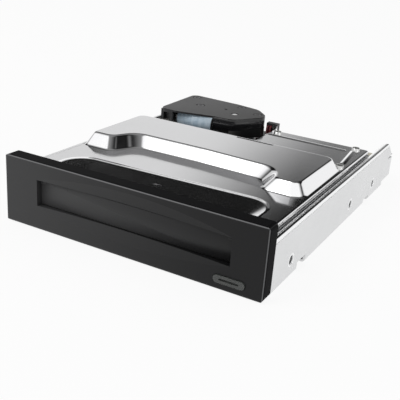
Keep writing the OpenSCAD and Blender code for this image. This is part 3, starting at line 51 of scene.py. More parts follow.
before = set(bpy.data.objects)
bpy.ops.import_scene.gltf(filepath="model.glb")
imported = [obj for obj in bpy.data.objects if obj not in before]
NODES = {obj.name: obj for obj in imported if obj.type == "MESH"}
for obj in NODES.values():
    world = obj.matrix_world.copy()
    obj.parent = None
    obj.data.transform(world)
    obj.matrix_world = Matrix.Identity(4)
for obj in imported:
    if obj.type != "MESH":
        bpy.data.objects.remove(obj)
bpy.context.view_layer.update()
MM = 0.001
# the bezel's front face; the sizes below are in mm, with y counted from it
FRONT_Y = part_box("bezel")[0].y


# Shader expressions
class Field:
    """A number in a material that can be used in sums, products and comparisons."""

    def __init__(self, maker, socket):
        self.maker = maker
        self.socket = socket

    def _with(self, kind, other, flip=False):
        pair = (other, self) if flip else (self, other)
        return self.maker.number(kind, *pair)

    def __add__(self, other):
        return self._with("ADD", other)

    def __sub__(self, other):
        return self._with("SUBTRACT", other)

    def __mul__(self, other):
        return self._with("MULTIPLY", other)

    def __truediv__(self, other):
        return self._with("DIVIDE", other)

    def __pow__(self, other):
        return self._with("POWER", other)

    def __rsub__(self, other):
        return self._with("SUBTRACT", other, True)

    def __rtruediv__(self, other):
        return self._with("DIVIDE", other, True)

    __radd__ = __add__
    __rmul__ = __mul__

    def __neg__(self):
        return self * -1.0

    def above(self, edge):
        return self._with("GREATER_THAN", edge)

    def most(self, other):
        return self._with("MAXIMUM", other)

    def wave(self):
        return self.maker.number("SINE", self)

    def size(self):
        return self.maker.number("ABSOLUTE", self)

    def part(self):
        return self.maker.number("FRACT", self)

    def ease(self, low, high):
        """0 below low, 1 above high, smooth between."""
        return self.maker.field("ShaderNodeMapRange", {"interpolation_type": "SMOOTHSTEP"},
                                {"Value": self, "From Min": low, "From Max": high})


class Maker:
    """Builds the nodes of one material or world."""

    def __init__(self, tree):
        self.tree = tree
        tree.nodes.clear()

    def node(self, kind, settings=None, inputs=None):
        """A node with its settings made first, then its sockets filled or linked."""
        made = self.tree.nodes.new(kind)
        for key, value in (settings or {}).items():
            if key == "stops":
                ramp = made.color_ramp
                while len(ramp.elements) < len(value):
                    ramp.elements.new(0.5)
                for element, (place, colour) in zip(ramp.elements, value):
                    element.position = place
                    element.color = (*colour, 1.0)
            else:
                setattr(made, key, value)
        for key, value in (inputs or {}).items():
            self.fill(made.inputs[key], value)
        return made

    def fill(self, socket, value):
        if isinstance(value, Field):
            value = value.socket
        if isinstance(value, bpy.types.NodeSocket):
            self.tree.links.new(value, socket)
        elif isinstance(value, (tuple, list, Vector)) and socket.type == "RGBA" and len(value) == 3:
            socket.default_value = (*value, 1.0)
        else:
            socket.default_value = value

    def field(self, kind, settings=None, inputs=None, out=0):
        return Field(self, self.node(kind, settings, inputs).outputs[out])

    def number(self, kind, *values):
        return self.field("ShaderNodeMath", {"operation": kind}, dict(enumerate(values)))

    def place(self):
        """Object coordinates in metres, as a vector and its three numbers."""
        vector = self.node("ShaderNodeTexCoord").outputs["Object"]
        parts = self.node("ShaderNodeSeparateXYZ", None, {0: vector}).outputs
        return vector, Field(self, parts[0]), Field(self, parts[1]), Field(self, parts[2])

    def stretched(self, vector, scale):
        return self.node("ShaderNodeVectorMath", {"operation": "MULTIPLY"}, {0: vector, 1: scale}).outputs[0]

    def noise(self, vector, scale, detail=3.0, rough=0.5):
        return self.field("ShaderNodeTexNoise", {"noise_dimensions": "3D"},
                          {"Vector": vector, "Scale": scale, "Detail": detail, "Roughness": rough})

    def cells(self, vector, scale, feature="F1"):
        return self.field("ShaderNodeTexVoronoi", {"feature": feature}, {"Vector": vector, "Scale": scale})

    def blend(self, factor, low, high):
        mix = self.node("ShaderNodeMix", {"data_type": "RGBA"})
        for name, value in ((0, factor), (6, low), (7, high)):
            self.fill(mix.inputs[name], value)
        return mix.outputs[2]

    def bump(self, height, strength, distance, under=None):
        inputs = {"Height": height, "Strength": strength, "Distance": distance}
        if under is not None:
            inputs["Normal"] = under
        return self.node("ShaderNodeBump", None, inputs).outputs[0]

    def skin(self, matt=None, **values):
        """Principled surface and the material output. Keys are socket names with _ for spaces.
        Matt shade is a share and a colour: that share of the surface is plain, unpolished and dark; it
        carries painted shade."""
        inputs = {key.replace("_", " "): value for key, value in values.items()}
        surface = self.node("ShaderNodeBsdfPrincipled", None, inputs)
        if matt:
            plain = self.node("ShaderNodeBsdfDiffuse", None, {"Color": matt[1]})
            surface = self.node("ShaderNodeMixShader", None,
                                {0: matt[0], 1: surface.outputs[0], 2: plain.outputs[0]})
        self.node("ShaderNodeOutputMaterial", None, {"Surface": surface.outputs[0]})
        return surface


def new_material(name):
    material = bpy.data.materials.new(name)
    material.use_nodes = True
    return material, Maker(material.node_tree)


def moulded(name, colour, rough, grain=2600.0, depth=0.00002, variation=0.25, coat=0.0):
    """Injection-moulded plastic with spark-eroded grain and slight colour drift."""
    material, m = new_material(name)
    vector, x, y, z = m.place()
    fine = m.noise(vector, grain, 2.0, 0.6)
    drift = m.noise(vector, 45.0, 3.0)
    tint = m.blend(drift.ease(0.3, 0.7) * variation, colour, [c * 0.72 for c in colour])
    m.skin(Base_Color=tint, Roughness=rough + (fine - 0.5) * 0.12 + (drift - 0.5) * 0.08,
           Coat_Weight=coat, Normal=m.bump(fine, 0.25, depth))
    return material


def shaded_moulding(name, left, right, shade_span, rough, level, grain=3200.0, skin=None):
    """Moulded plastic with painted shade: its tone darkens from the left to the right, for light that falls
    off across the part.
    With a skin depth in mm, the top and right faces behind the front skin get painted shade, dark and
    unpolished, and their front edges a painted highlight."""
    material, m = new_material(name)
    vector, x, y, z = m.place()
    fine = m.noise(vector, grain, 2.0, 0.6)
    drift = m.noise(vector, 45.0, 3.0)
    # painted shade: the tone goes from the left colour to the darker right one across the given span in x
    share = x.ease(shade_span[0] * MM, shade_span[1] * MM)
    tint = m.blend(share, m.blend(drift * 0.2, left, [c * 0.8 for c in left]), right)
    matt = None
    if skin:
        depth = y - FRONT_Y
        high, wide = BEZEL_HIGH.z - 0.5 * MM, BEZEL_HIGH.x - 0.5 * MM
        edge = z.ease(high, high + 0.15 * MM).most(x.ease(wide, wide + 0.15 * MM))
        # painted shade: the top and right faces behind the front skin turn dark and unpolished
        matt = (depth.ease(skin * MM, skin * 1.3 * MM) * edge * TOP_RIGHT_PAINT_SHARE, tuple(right))
        # painted highlight: a lighter grey band along the front edges of the top and right faces
        painted_edge_highlight = depth.ease(0.02 * MM, 0.10 * MM) * (1.0 - depth.ease(skin * 0.9 * MM, skin * MM)) * edge
        tint = m.blend(painted_edge_highlight * TOP_RIGHT_PAINT_SHARE, tint, EDGE_HIGHLIGHT_GREY)
    m.skin(Base_Color=tint, Roughness=rough + (fine - 0.5) * 0.1 + (drift - 0.5) * 0.06,
           Specular_IOR_Level=level, Normal=m.bump(fine, 0.2, 0.000014), matt=matt)
    return material


def rolled_metal(name, colour, rough, along=(1.0, 1.0, 1.0), grain=900.0, depth=0.000004, tone=0.12,
                 cloud=60.0, metal=1.0):
    """Sheet or turned metal: drawn grain, cloudy tone and a little handling wear."""
    material, m = new_material(name)
    vector, x, y, z = m.place()
    lines = m.noise(m.stretched(vector, along), grain, 3.0, 0.6)
    clouds = m.noise(vector, cloud, 4.0, 0.55)
    tint = m.blend(clouds.ease(0.3, 0.75) * tone + lines * tone * 0.5, colour, [c * 0.78 for c in colour])
    m.skin(Base_Color=tint, Metallic=metal, Roughness=rough + (lines - 0.5) * 0.1 + (clouds - 0.5) * 0.1,
           Normal=m.bump(lines, 0.2, depth))
    return material


def circuit_finish():
    """Green solder mask over copper tracks, with vias."""
    material, m = new_material("solder_mask_over_tracks")
    vector, x, y, z = m.place()
    across = ((x * 640.0 + m.noise(vector, 22.0, 0.0).ease(0.45, 0.55) * 3.0).part() - 0.5).size()
    along = ((y * 520.0 + m.noise(vector, 31.0, 0.0).ease(0.46, 0.54) * 4.0).part() - 0.5).size()
    zone = m.noise(vector, 55.0, 1.0).ease(0.49, 0.51)
    track = (across.above(0.36) * zone).most(along.above(0.37) * (1.0 - zone))
    via = 1.0 - m.cells(vector, 420.0).above(0.16)
    mask = m.blend(track * 0.75, (0.008, 0.085, 0.03), (0.03, 0.22, 0.08))
    colour = m.blend(via * 0.8, mask, (0.55, 0.5, 0.36))
    m.skin(Base_Color=colour, Roughness=0.32 + via * 0.1, Coat_Weight=0.3,
           Normal=m.bump(track + via * 0.5, 0.4, 0.00004))
    return material


def chip_finish():
    """Moulded package, near black with a fine grain."""
    material, m = new_material("chip_package")
    vector, x, y, z = m.place()
    fine = m.noise(vector, 5200.0, 2.0)
    m.skin(Base_Color=m.blend(fine.ease(0.35, 0.7), (0.018, 0.018, 0.02), (0.035, 0.035, 0.037)),
           Roughness=0.5 + (fine - 0.5) * 0.25, Normal=m.bump(fine, 0.3, 0.00002))
    return material


def clear_finish():
    """Smoky clear moulding of the eject button."""
    material, m = new_material("smoky_clear_moulding")
    vector, x, y, z = m.place()
    swirl = m.noise(vector, 260.0, 3.0)
    m.skin(Base_Color=m.blend(swirl, (0.07, 0.075, 0.072), (0.13, 0.135, 0.13)),
           Roughness=0.06 + swirl * 0.1, IOR=1.49, Transmission_Weight=0.55,
           Normal=m.bump(swirl, 0.15, 0.00005))
    return material


def polished_finish():
    """Polished stainless sheet of the top cover."""
    material, m = new_material("polished_stainless")
    vector, x, y, z = m.place()
    lines = m.noise(m.stretched(vector, (1.0, 0.06, 1.0)), 1500.0, 3.0, 0.6)
    clouds = m.noise(vector, 38.0, 4.0, 0.55)
    tint = m.blend(clouds.ease(0.3, 0.8) * 0.2, (0.86, 0.86, 0.87), (0.76, 0.76, 0.77))
    m.skin(Base_Color=tint, Metallic=1.0, Roughness=0.10 + (lines - 0.5) * 0.06 + (clouds - 0.5) * 0.05,
           Normal=m.bump(lines, 0.06, 0.000003))
    return material


def film_finish():
    """Pale blue shrink film round the loading motor."""
    material, m = new_material("pale_blue_film")
    vector, x, y, z = m.place()
    crease = m.noise(m.stretched(vector, (1.0, 0.3, 0.3)), 900.0, 3.0)
    m.skin(Base_Color=m.blend(crease.ease(0.3, 0.7), (0.36, 0.47, 0.56), (0.50, 0.60, 0.68)),
           Roughness=0.25 + crease * 0.2, Coat_Weight=0.5, Normal=m.bump(crease, 0.35, 0.00006))
    return material


def coil_finish():
    """Enamelled copper wire, one turn beside the next."""
    material, m = new_material("enamelled_copper")
    vector, x, y, z = m.place()
    turns = ((z * 5200.0) * (2 * math.pi)).wave()
    # painted highlight and painted shade: the copper is lighter along the crest of each turn and darker
    # between turns
    m.skin(Base_Color=m.blend(turns * 0.5 + 0.5, (0.32, 0.10, 0.04), (0.75, 0.32, 0.14)), Metallic=0.8,
           Roughness=0.3, Coat_Weight=0.4, Normal=m.bump(turns, 0.4, 0.00003))
    return material


FINISHES = {}


def finish(name):
    """The finish of that name, made once."""
    if name not in FINISHES:
        FINISHES[name] = {
            # bezel, door, housing and tray rim: the darkening from left to right is painted shade; the
            # bezel's top and right faces also get painted shade and their front edges a painted highlight
            "bezel": lambda: shaded_moulding("bezel_moulding", (0.045, 0.045, 0.046), (0.006, 0.006, 0.0065),
                                             (-60.0, 45.0), 0.40, 0.22, skin=0.4),
            "door": lambda: shaded_moulding("door_moulding", (0.052, 0.052, 0.053), (0.010, 0.010, 0.0105),
                                            (-60.0, 50.0), 0.36, 0.22),
            "housing": lambda: shaded_moulding("housing_moulding", (0.020, 0.020, 0.021),
                                               (0.010, 0.010, 0.010), (-40.0, 0.0), 0.34, 0.3),
            # tray rim: pale grey at the left, painted darker to near black towards the right
            "tray_rim": lambda: shaded_moulding("housing_tray_moulding", (0.20, 0.195, 0.19),
                                                (0.006, 0.006, 0.006), (-20.0, -6.0), 0.30, 0.4),
            "gloss_black": lambda: moulded("gloss_black_moulding", (0.010, 0.010, 0.011), 0.16, 2200.0,
                                           0.000004, 0.2),
            "black": lambda: moulded("connector_moulding", (0.02, 0.02, 0.021), 0.4, 2600.0),
            "ivory": lambda: moulded("natural_acetal", (0.66, 0.62, 0.50), 0.38, 2400.0, 0.00002, 0.35),
            "slide": lambda: moulded("slide_moulding", (0.55, 0.54, 0.50), 0.42, 2400.0),
            "white": lambda: moulded("white_moulding", (0.78, 0.78, 0.75), 0.45, 2400.0),
            "filter": lambda: moulded("filter_felt", (0.74, 0.74, 0.70), 0.9, 1800.0, 0.00015, 0.3),
            "rubber": lambda: moulded("isolator_rubber", (0.018, 0.018, 0.018), 0.75, 1800.0, 0.00005, 0.4),
            "leads": lambda: moulded("dark_red_insulation", (0.11, 0.012, 0.016), 0.45, 1500.0, 0.00002, 0.3),
            "film": lambda: moulded("amber_film", (0.48, 0.20, 0.03), 0.25, 1200.0, 0.00001, 0.4, 0.4),
            "ceramic": lambda: moulded("tan_ceramic", (0.36, 0.25, 0.15), 0.5, 3000.0),
            "slider": lambda: moulded("ground_ceramic", (0.05, 0.05, 0.055), 0.22, 6000.0, 0.000004),
            "cover": polished_finish,
            "zinc": lambda: rolled_metal("zinc_plated_sheet", (0.74, 0.745, 0.75), 0.30, (1.0, 0.08, 1.0),
                                         1300.0, metal=0.8),
            "rail_edge": lambda: rolled_metal("bright_rolled_edge", (0.92, 0.925, 0.93), 0.14,
                                              (1.0, 0.06, 1.0), 1500.0),
            "screw": lambda: rolled_metal("nickel_screw", (0.66, 0.66, 0.65), 0.24, (1.0, 1.0, 0.2), 2600.0),
            "dark_screw": lambda: rolled_metal("blackened_screw", (0.10, 0.10, 0.105), 0.32, (1.0, 1.0, 0.2),
                                               2600.0),
            "spring": lambda: rolled_metal("spring_wire", (0.62, 0.62, 0.62), 0.28, (0.2, 1.0, 1.0), 2600.0),
            "cast": lambda: rolled_metal("cast_alloy", (0.56, 0.565, 0.57), 0.46, (1.0, 1.0, 1.0), 1400.0,
                                         0.00003),
            "can": lambda: rolled_metal("motor_can_steel", (0.66, 0.66, 0.66), 0.24, (0.05, 1.0, 1.0),
                                        1800.0),
            "bright": lambda: rolled_metal("bright_steel", (0.74, 0.74, 0.74), 0.20, (1.0, 0.1, 1.0), 2000.0),
            "magnet": lambda: rolled_metal("nickel_magnet", (0.58, 0.58, 0.6), 0.22, (1.0, 1.0, 1.0), 1600.0),
            "gold": lambda: rolled_metal("gold_plating", (0.86, 0.62, 0.26), 0.22, (1.0, 1.0, 0.2), 2600.0),
            "board": circuit_finish,
            "chip": chip_finish,
            "clear": clear_finish,
            "sleeve": film_finish,
            "coil": coil_finish,
        }[name]()
    return FINISHES[name]


NODE_FINISH = {
    "bezel": "bezel", "media_door": "door", "door_spring": "spring", "eject_button": "clear",
    "button_springs": "spring", "front_board": "board", "eject_switch": "black", "status_lamp": "white",
    "outer_frame": "zinc", "bezel_screws": "screw", "shock_mounts": "rubber", "mount_screws": "screw",
    "circuit_board": "board", "board_screws": "screw", "processor_chip": "chip", "memory_chips": "chip",
    "motor_driver": "chip", "capacitors": "ceramic", "data_connector": "black", "data_pins": "gold",
    "power_connector": "ivory", "power_pins": "gold", "jumper_block": "black", "jumper_pins": "gold",
    "jumper_cap": "black", "inner_chassis": "cast", "guide_left": "ivory", "guide_right": "ivory",
    "top_cover": "cover", "cover_screws": "screw", "gear_housing": "tray_rim", "housing_plate": "housing",
    "housing_screws": "dark_screw", "loading_motor": "can", "motor_sleeve": "sleeve", "worm_shaft": "bright",
    "worm_wheel": "ivory", "reduction_gear": "ivory", "wheel_axle": "bright", "idler_axle": "bright",
    "loading_slide": "slide", "contact_block": "black", "contact_springs": "gold", "pivot_shaft": "bright",
    "head_arm": "cast", "voice_coil": "coil", "suspensions": "bright", "heads": "slider",
    "lower_magnet_plate": "bright", "upper_magnet_plate": "bright", "magnets": "magnet",
    "plate_spacers": "screw", "head_ramp": "ivory", "flex_cable": "film", "air_filter": "filter",
    "lead_plug": "black", "lead_socket": "ivory", "motor_leads": "leads", "rear_tab": "bright",
}


# Mesh helpers
def solid_object(name, points, faces, material, smooth=True):
    """A mesh object from points in metres, at the origin."""
    mesh = bpy.data.meshes.new(name)
    mesh.from_pydata([tuple(p) for p in points], [], faces)
    mesh.validate()
    made = bpy.data.objects.new(name, mesh)
    bpy.context.scene.collection.objects.link(made)
    mesh.materials.append(material)
    for polygon in mesh.polygons:
        polygon.use_smooth = smooth
    return made


def corner_arc(a, b, c, r, steps):
    """Points round corner b of a path a, b, c, with radius r. All in mm."""
    u, v = (a - b).normalized(), (c - b).normalized()
    half = u.angle(v) / 2
    middle = b + (u + v).normalized() * (r / math.sin(half))
    reach = r / math.tan(half)
    first, last = b + u * reach - middle, b + v * reach - middle
    start = math.atan2(first.y, first.x)
    sweep = (math.atan2(last.y, last.x) - start + 3 * math.pi) % (2 * math.pi) - math.pi
    return [middle + Vector((math.cos(start + sweep * i / steps), math.sin(start + sweep * i / steps))) * r
            for i in range(steps + 1)]


def rounded(corners, steps=10):
    """Closed ring from (x, y, radius) corners."""
    count = len(corners)
    ring = []
    for i, (x, y, r) in enumerate(corners):
        a, c = corners[i - 1], corners[(i + 1) % count]
        ring += corner_arc(Vector(a[:2]), Vector((x, y)), Vector(c[:2]), r, steps)
    return ring


def moved_in(corners, gap):
    """Corners moved inward by gap; inner and outer corners stay parallel."""
    count = len(corners)
    result = []
    for i, (x, y, r) in enumerate(corners):
        b = Vector((x, y))
        ahead = (Vector(corners[(i + 1) % count][:2]) - b).normalized()
        behind = (b - Vector(corners[i - 1][:2])).normalized()
        p, q = Vector((-behind.y, behind.x)), Vector((-ahead.y, ahead.x))
        side = 1.0 if p.cross(q) > 0 else -1.0
        place = b + (p + q) / (1 + p.dot(q)) * gap
        result.append((place.x, place.y, max(r - side * gap, 0.05)))
    return result


class Sheet:
    """A thin pressed sheet made of ring strips and flat fields."""

    def __init__(self):
        self.points = []
        self.faces = []

    def ring(self, plan, z):
        start = len(self.points)
        self.points += [Vector((p.x * MM, p.y * MM + FRONT_Y, z * MM)) for p in plan]
        return list(range(start, len(self.points)))

    def strip(self, rings):
        """Faces between following rings of equal count, upward when rings go inward."""
        for low, high in zip(rings, rings[1:]):
            count = len(low)
            for i in range(count):
                j = (i + 1) % count
                self.faces.append((low[i], low[j], high[j], high[i]))

    def field(self, outer, holes=()):
        """Flat field between an outer ring and its holes."""
        loops = [outer, *holes]
        order = [k for loop in loops for k in loop]
        for face in tessellate_polygon([[self.points[k] for k in loop] for loop in loops]):
            a, b, c = (order[k] for k in face)
            n = (self.points[b] - self.points[a]).cross(self.points[c] - self.points[a])
            if n.length > 0:
                self.faces.append((a, b, c) if n.z > 0 else (a, c, b))

    def object(self, name, material):
        return solid_object(name, self.points, self.faces, material)


def turned(profile, place, turns=28):
    """Ring turned from a closed profile.
    Place gives x, y, z in mm from the cosine, the sine and the two numbers of a profile point."""
    points, faces = [], []
    count = len(profile)
    for i in range(turns):
        a = 2 * math.pi * i / turns
        for r, h in profile:
            x, y, z = place(math.cos(a), math.sin(a), r, h)
            points.append(Vector((x * MM, y * MM + FRONT_Y, z * MM)))
        for k in range(count):
            here, there, j = i * count, ((i + 1) % turns) * count, (k + 1) % count
            faces.append((here + k, here + j, there + j, there + k))
    return points, faces


def bent(a, b, c, steps=5):
    """Points of a soft bend from a to c with its corner at b."""
    return [tuple(p * (1 - t) ** 2 + q * 2 * t * (1 - t) + r * t * t for p, q, r in zip(a, b, c))
            for t in (i / steps for i in range(steps + 1))]


# Settings
class DriveCameraSettings(bpy.types.PropertyGroup):
    azimuth: FloatProperty(name="Azimuth", description="Camera turn to the right of the front",
                           default=math.radians(27.757), subtype="ANGLE")
    elevation: FloatProperty(name="Elevation", description="Camera height above the horizon",
                             default=math.radians(21.89), subtype="ANGLE")
    roll: FloatProperty(name="Roll", description="Camera roll", default=math.radians(4.38), subtype="ANGLE")
    distance: FloatProperty(name="Distance", description="Camera to target", default=0.25219, unit="LENGTH")
    target: FloatVectorProperty(name="Target", description="Point in the middle of the view",
                                default=(0.00902, 0.03456 + FRONT_Y, 0.012), subtype="XYZ")
    lens: FloatProperty(name="Lens", description="Focal length in mm on a 36 mm sensor", default=63.32)


class DriveCoverSettings(bpy.types.PropertyGroup):
    top: FloatProperty(name="Sheet height", description="Height of the cover's flat sheet, mm", default=20.3)
    rise: FloatProperty(name="Deck rise", description="Height of the raised deck above the sheet, mm",
                        default=4.5)
    thickness: FloatProperty(name="Sheet thickness", description="Thickness of the sheet, mm", default=0.6)
    foot_bend: FloatProperty(name="Foot bend", description="Share of the wall taken by the bend at its foot",
                             default=0.13, subtype="FACTOR")
    top_bend: FloatProperty(name="Top bend", description="Share of the wall taken by the bend at its top",
                            default=0.15, subtype="FACTOR")
    edge_bend: FloatProperty(name="Edge bend", description="Radius of the turned-down edge, mm", default=0.8)


class DriveStageSettings(bpy.types.PropertyGroup):
    key_power: FloatProperty(name="Key power", description="Power of the large front-left softbox",
                             default=2.6)
    fill_power: FloatProperty(name="Fill power", description="Power of the right fill", default=0.5)
    room: FloatProperty(name="Room light", description="Level of the plain room light", default=0.6)
    floor: FloatVectorProperty(name="Floor colour", description="Colour of the pale floor",
                               default=(0.92, 0.92, 0.92), subtype="COLOR")


class DriveFingerSettings(bpy.types.PropertyGroup):
    count: IntProperty(name="Fingers", description="Number of earthing fingers in the row", default=66, min=1)
    pitch: FloatProperty(name="Pitch", description="Distance from finger to finger, mm", default=1.12)
    share: FloatProperty(name="Finger share", description="Share of the pitch that a finger fills",
                         default=0.6)
    width: FloatProperty(name="Width", description="Width of a finger across the edge, mm", default=0.62)
    side: FloatProperty(name="Side", description="Distance of the row from the middle, mm", default=47.68)
    start: FloatProperty(name="Start", description="Distance of the first finger from the bezel face, mm",
                         default=7.5)
    height: FloatProperty(name="Height", description="Height of the row, mm", default=20.0)


SETTINGS = {"drive_camera": DriveCameraSettings, "drive_cover": DriveCoverSettings,
            "drive_fingers": DriveFingerSettings, "drive_stage": DriveStageSettings}

# bezel: share of painted shade on its top and right faces and of the painted highlight on their front edges,
# and the colour of that painted highlight
BEZEL_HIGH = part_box("bezel")[1]
TOP_RIGHT_PAINT_SHARE = 0.85
EDGE_HIGHLIGHT_GREY = (0.16, 0.16, 0.165)
# rails: outer face, top, radius and start and end of the rolled edge, and its hidden foot
RAIL_X = 50.7
RAIL_TOP = 19.06
RAIL_ROLL = 0.75
RAIL_Y = (6.0, 130.4)
RAIL_FOOT = 17.5
RAIL_WIDTH = 2.5
# plan of the gear housing with corner radii, start of its closed wall, and the wall's section:
# distance inward and height
HOUSING = [(-44.2, 91.0, 3.0), (-35.6, 90.6, 3.0), (-19.0, 94.6, 10.0), (-9.6, 95.4, 5.0), (-0.4, 110.6, 5.0),
           (-8.6, 119.3, 7.0), (-20.1, 121.5, 20.0), (-45.0, 123.2, 3.0)]
WALL_START = -19.35
WALL_REAR = 120.0
WALL_PROUD = 0.1
WALL_SECTION = [(0.0, 17.0), (0.0, 24.8), (0.12, 25.12), (0.36, 25.33), (0.7, 25.38), (0.7, 17.0)]
# bearing cup on the wheel's axle: centre, and its section as radius and height
WHEEL_XY = (-13.6, 104.4)
CUP_SECTION = [(0.85, 25.07), (0.85, 25.2), (1.2, 25.22), (1.5, 25.34), (1.86, 25.34), (1.86, 25.07)]
# side screw holes: places, height, and the section of a rim as radius and distance from the middle
SIDE_HOLES = (21.0, 81.0, 111.0)
HOLE_HEIGHT = 6.35
RIM_SECTION = [(1.75, 50.58), (1.8, 50.72), (1.95, 50.78), (2.15, 50.78), (2.4, 50.72), (2.5, 50.58)]
# motor sleeve: centre in y and z, radius, half height at its flats, film thickness, ends
MOTOR_YZ = (97.8, 20.95)
SLEEVE_R = 4.96
SLEEVE_FLAT = 3.62
SLEEVE_FILM = 0.14
SLEEVE_X = (-36.6, -19.5)

# cover plan, mm from the bezel face: x, y, corner radius
OUTLINE = [(-47.3, 6.0, 0.4), (47.3, 6.0, 0.4), (47.3, 110.6, 1.4), (3.0, 110.6, 1.0), (3.0, 90.0, 1.6),
           (-47.3, 90.0, 1.4)]
DECK_TOP = [(-44.6, 42.5, 1.2), (-35.8, 42.7, 4.0), (-31.2, 52.6, 8.0), (0.0, 52.7, 30.0), (30.6, 51.0, 9.0),
            (33.9, 41.0, 3.4), (43.0, 41.0, 3.2), (43.0, 76.5, 3.0), (-44.6, 76.5, 3.0)]
DECK_LOW = [(-46.3, 37.9, 2.4), (-33.0, 38.0, 4.4), (-28.2, 48.4, 7.0), (0.0, 49.0, 30.0), (27.2, 48.2, 8.0),
            (30.3, 38.9, 3.8), (45.8, 38.7, 4.6), (45.8, 78.5, 4.2), (-46.3, 78.5, 4.2)]
RECESS_TOP = [(-38.6, 7.2, 0.5), (39.8, 7.2, 0.5), (39.8, 28.2, 8.0), (-38.6, 25.2, 9.0)]
RECESS_LOW = [(-26.0, 7.5, 0.3), (35.6, 7.5, 0.3), (35.6, 10.6, 2.6), (-26.0, 10.0, 2.0)]
RECESS_DROP = 1.15
# shares of the way across and down the recess wall; the small lip lies before the slope
RECESS_PATH = [(-0.18, 0.0), (-0.16, 0.0), (-0.13, -0.04), (-0.09, -0.12), (-0.05, -0.19), (-0.03, -0.21),
               (-0.01, -0.21), (0.01, -0.19), (0.05, -0.13), (0.20, 0.06), (0.40, 0.31), (0.60, 0.56),
               (0.80, 0.80), (0.94, 0.96), (1.0, 1.0), (1.02, 1.0)]
# rear corner of the slope along the middle of the recess, and its length
RECESS_MIDDLE = (26.7, 16.4)
# stiffening beads: ends of the middle line, half width and rise on the sheet and on the deck
BEADS = [((5.0, 103.0), (38.4, 103.0)), ((42.3, 104.0), (43.9, 86.0))]
DECK_BEAD = ((2.5, 75.4), (17.5, 75.4))
BEAD_R = 1.3
BEAD_RISE = 0.27
DECK_BEAD_R = 0.8
DECK_BEAD_RISE = 0.12
# share of the half width and of the rise at each ring of a bead
BEAD_SECTION = [(1.12, 0.0), (1.0, 0.0), (0.9, 0.03), (0.75, 0.16), (0.6, 0.38), (0.45, 0.62), (0.3, 0.83),
                (0.15, 0.97), (0.06, 1.0)]
# turned-down edge of the cover below the sheet
EDGE_DROP = 1.2
# dark sheet of painted shade in the cover's catch notch: plan, thickness, and its seat above the sheet
CATCH = [(-1.5, 18.8, 0.5), (1.5, 18.8, 0.5), (1.5, 20.2, 0.5), (-1.5, 20.2, 0.5)]
CATCH_THICK = 0.05
CATCH_SEAT = 0.02
# face skin of the door: outline in x and z with corner radii, rear face and thickness
DOOR_FACE = [(-36.15, 9.35, 0.35), (38.75, 9.35, 0.35), (38.75, 18.2, 0.35), (-36.15, 18.2, 0.35)]
DOOR_FACE_Y = 2.6
DOOR_FACE_THICK = 0.7
# room, seen only in reflections: soft edges of the left and right card as turns about the upright axis,
# and the height of a reflected ray in a level sheet
LEFT_EDGE = (math.radians(-33.0), math.radians(-18.0))
RIGHT_EDGE = (math.radians(4.0), math.radians(22.0))
LEVEL_VIEW = 0.36
# floor: half side, drop below the drive, share of plain white that the camera sees, all in metres
FLOOR_REACH = 6.0
FLOOR_DROP = -0.0002
FLOOR_WHITE = 0.90


# Operators
class DRIVE_OT_finishes(bpy.types.Operator):
    """Give every CAD node its finish"""
    bl_idname = "drive.finishes"
    bl_label = "Finishes"

    def execute(self, context):
        for name, made in NODES.items():
            made.data.materials.clear()
            made.data.materials.append(finish(NODE_FINISH[name]))
        return {"FINISHED"}


class DRIVE_OT_cover(bpy.types.Operator):
    """Press the polished top cover: deck, front recess, beads and turned-down edge"""
    bl_idname = "drive.cover"
    bl_label = "Pressed cover"

    def execute(self, context):
        setting = context.scene.drive_cover
        sheet = Sheet()
        top = setting.top
        edge = setting.edge_bend
        rings = [sheet.ring(rounded(OUTLINE), top - EDGE_DROP)]
        for i in range(7):
            a = math.radians(15 * i)
            plan = rounded(moved_in(OUTLINE, edge * (1 - math.cos(a))))
            rings.append(sheet.ring(plan, top - edge * (1 - math.sin(a))))
        rings.append(sheet.ring(rounded(moved_in(OUTLINE, edge + 0.2)), top))
        sheet.strip(rings)
        foot, crest = setting.foot_bend, setting.top_bend
        path = [(-foot - 0.1, 0.0), *bent((-foot, 0.0), (0.0, 0.0), (foot, foot)),
                *bent((1 - crest, 1 - crest), (1.0, 1.0), (1 + crest, 1.0)), (1.1 + crest, 1.0)]
        deck = self.wall(sheet, DECK_LOW, DECK_TOP, top, setting.rise, path)
        recess = self.wall(sheet, RECESS_TOP, RECESS_LOW, top, -RECESS_DROP, RECESS_PATH)
        beads = [self.bead(sheet, a, b, top, BEAD_R, BEAD_RISE) for a, b in BEADS]
        sheet.field(rings[-1], [deck[0], recess[0], *[bead[0] for bead in beads]])
        ridge = self.bead(sheet, *DECK_BEAD, top + setting.rise, DECK_BEAD_R, DECK_BEAD_RISE)
        sheet.field(deck[1], [ridge[0]])
        sheet.field(ridge[1])
        sheet.field(recess[1])
        for bead in beads:
            sheet.field(bead[1])
        cover = sheet.object("pressed_cover", finish("cover"))
        solid = cover.modifiers.new("sheet", "SOLIDIFY")
        solid.thickness = setting.thickness * MM
        solid.offset = -1.0
        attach(cover, "chassis")
        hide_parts("top_cover")
        return {"FINISHED"}

    def wall(self, sheet, outer, inner, base, rise, path):
        """Sloping wall between two rings along a path of shares; gives its outermost and innermost ring."""
        low, high = rounded(outer), rounded(inner)
        rings = [sheet.ring([p.lerp(q, s) for p, q in zip(low, high)], base + rise * h) for s, h in path]
        sheet.strip(rings)
        return rings[0], rings[-1]

    def bead(self, sheet, a, b, base, radius, rise):
        """Raised stiffening bead with a domed section; gives its outermost and innermost ring."""
        a, b = Vector(a), Vector(b)
        along = (b - a).normalized()
        side = Vector((-along.y, along.x))
        rings = []
        for share, h in BEAD_SECTION:
            ring = []
            for end, flip in ((b, 1.0), (a, -1.0)):
                for i in range(11):
                    t = math.pi * i / 10 - math.pi / 2
                    ring.append(end + (along * math.cos(t) + side * math.sin(t)) * (radius * share * flip))
            rings.append(sheet.ring(ring, base + rise * h))
        sheet.strip(rings)
        return rings[0], rings[-1]


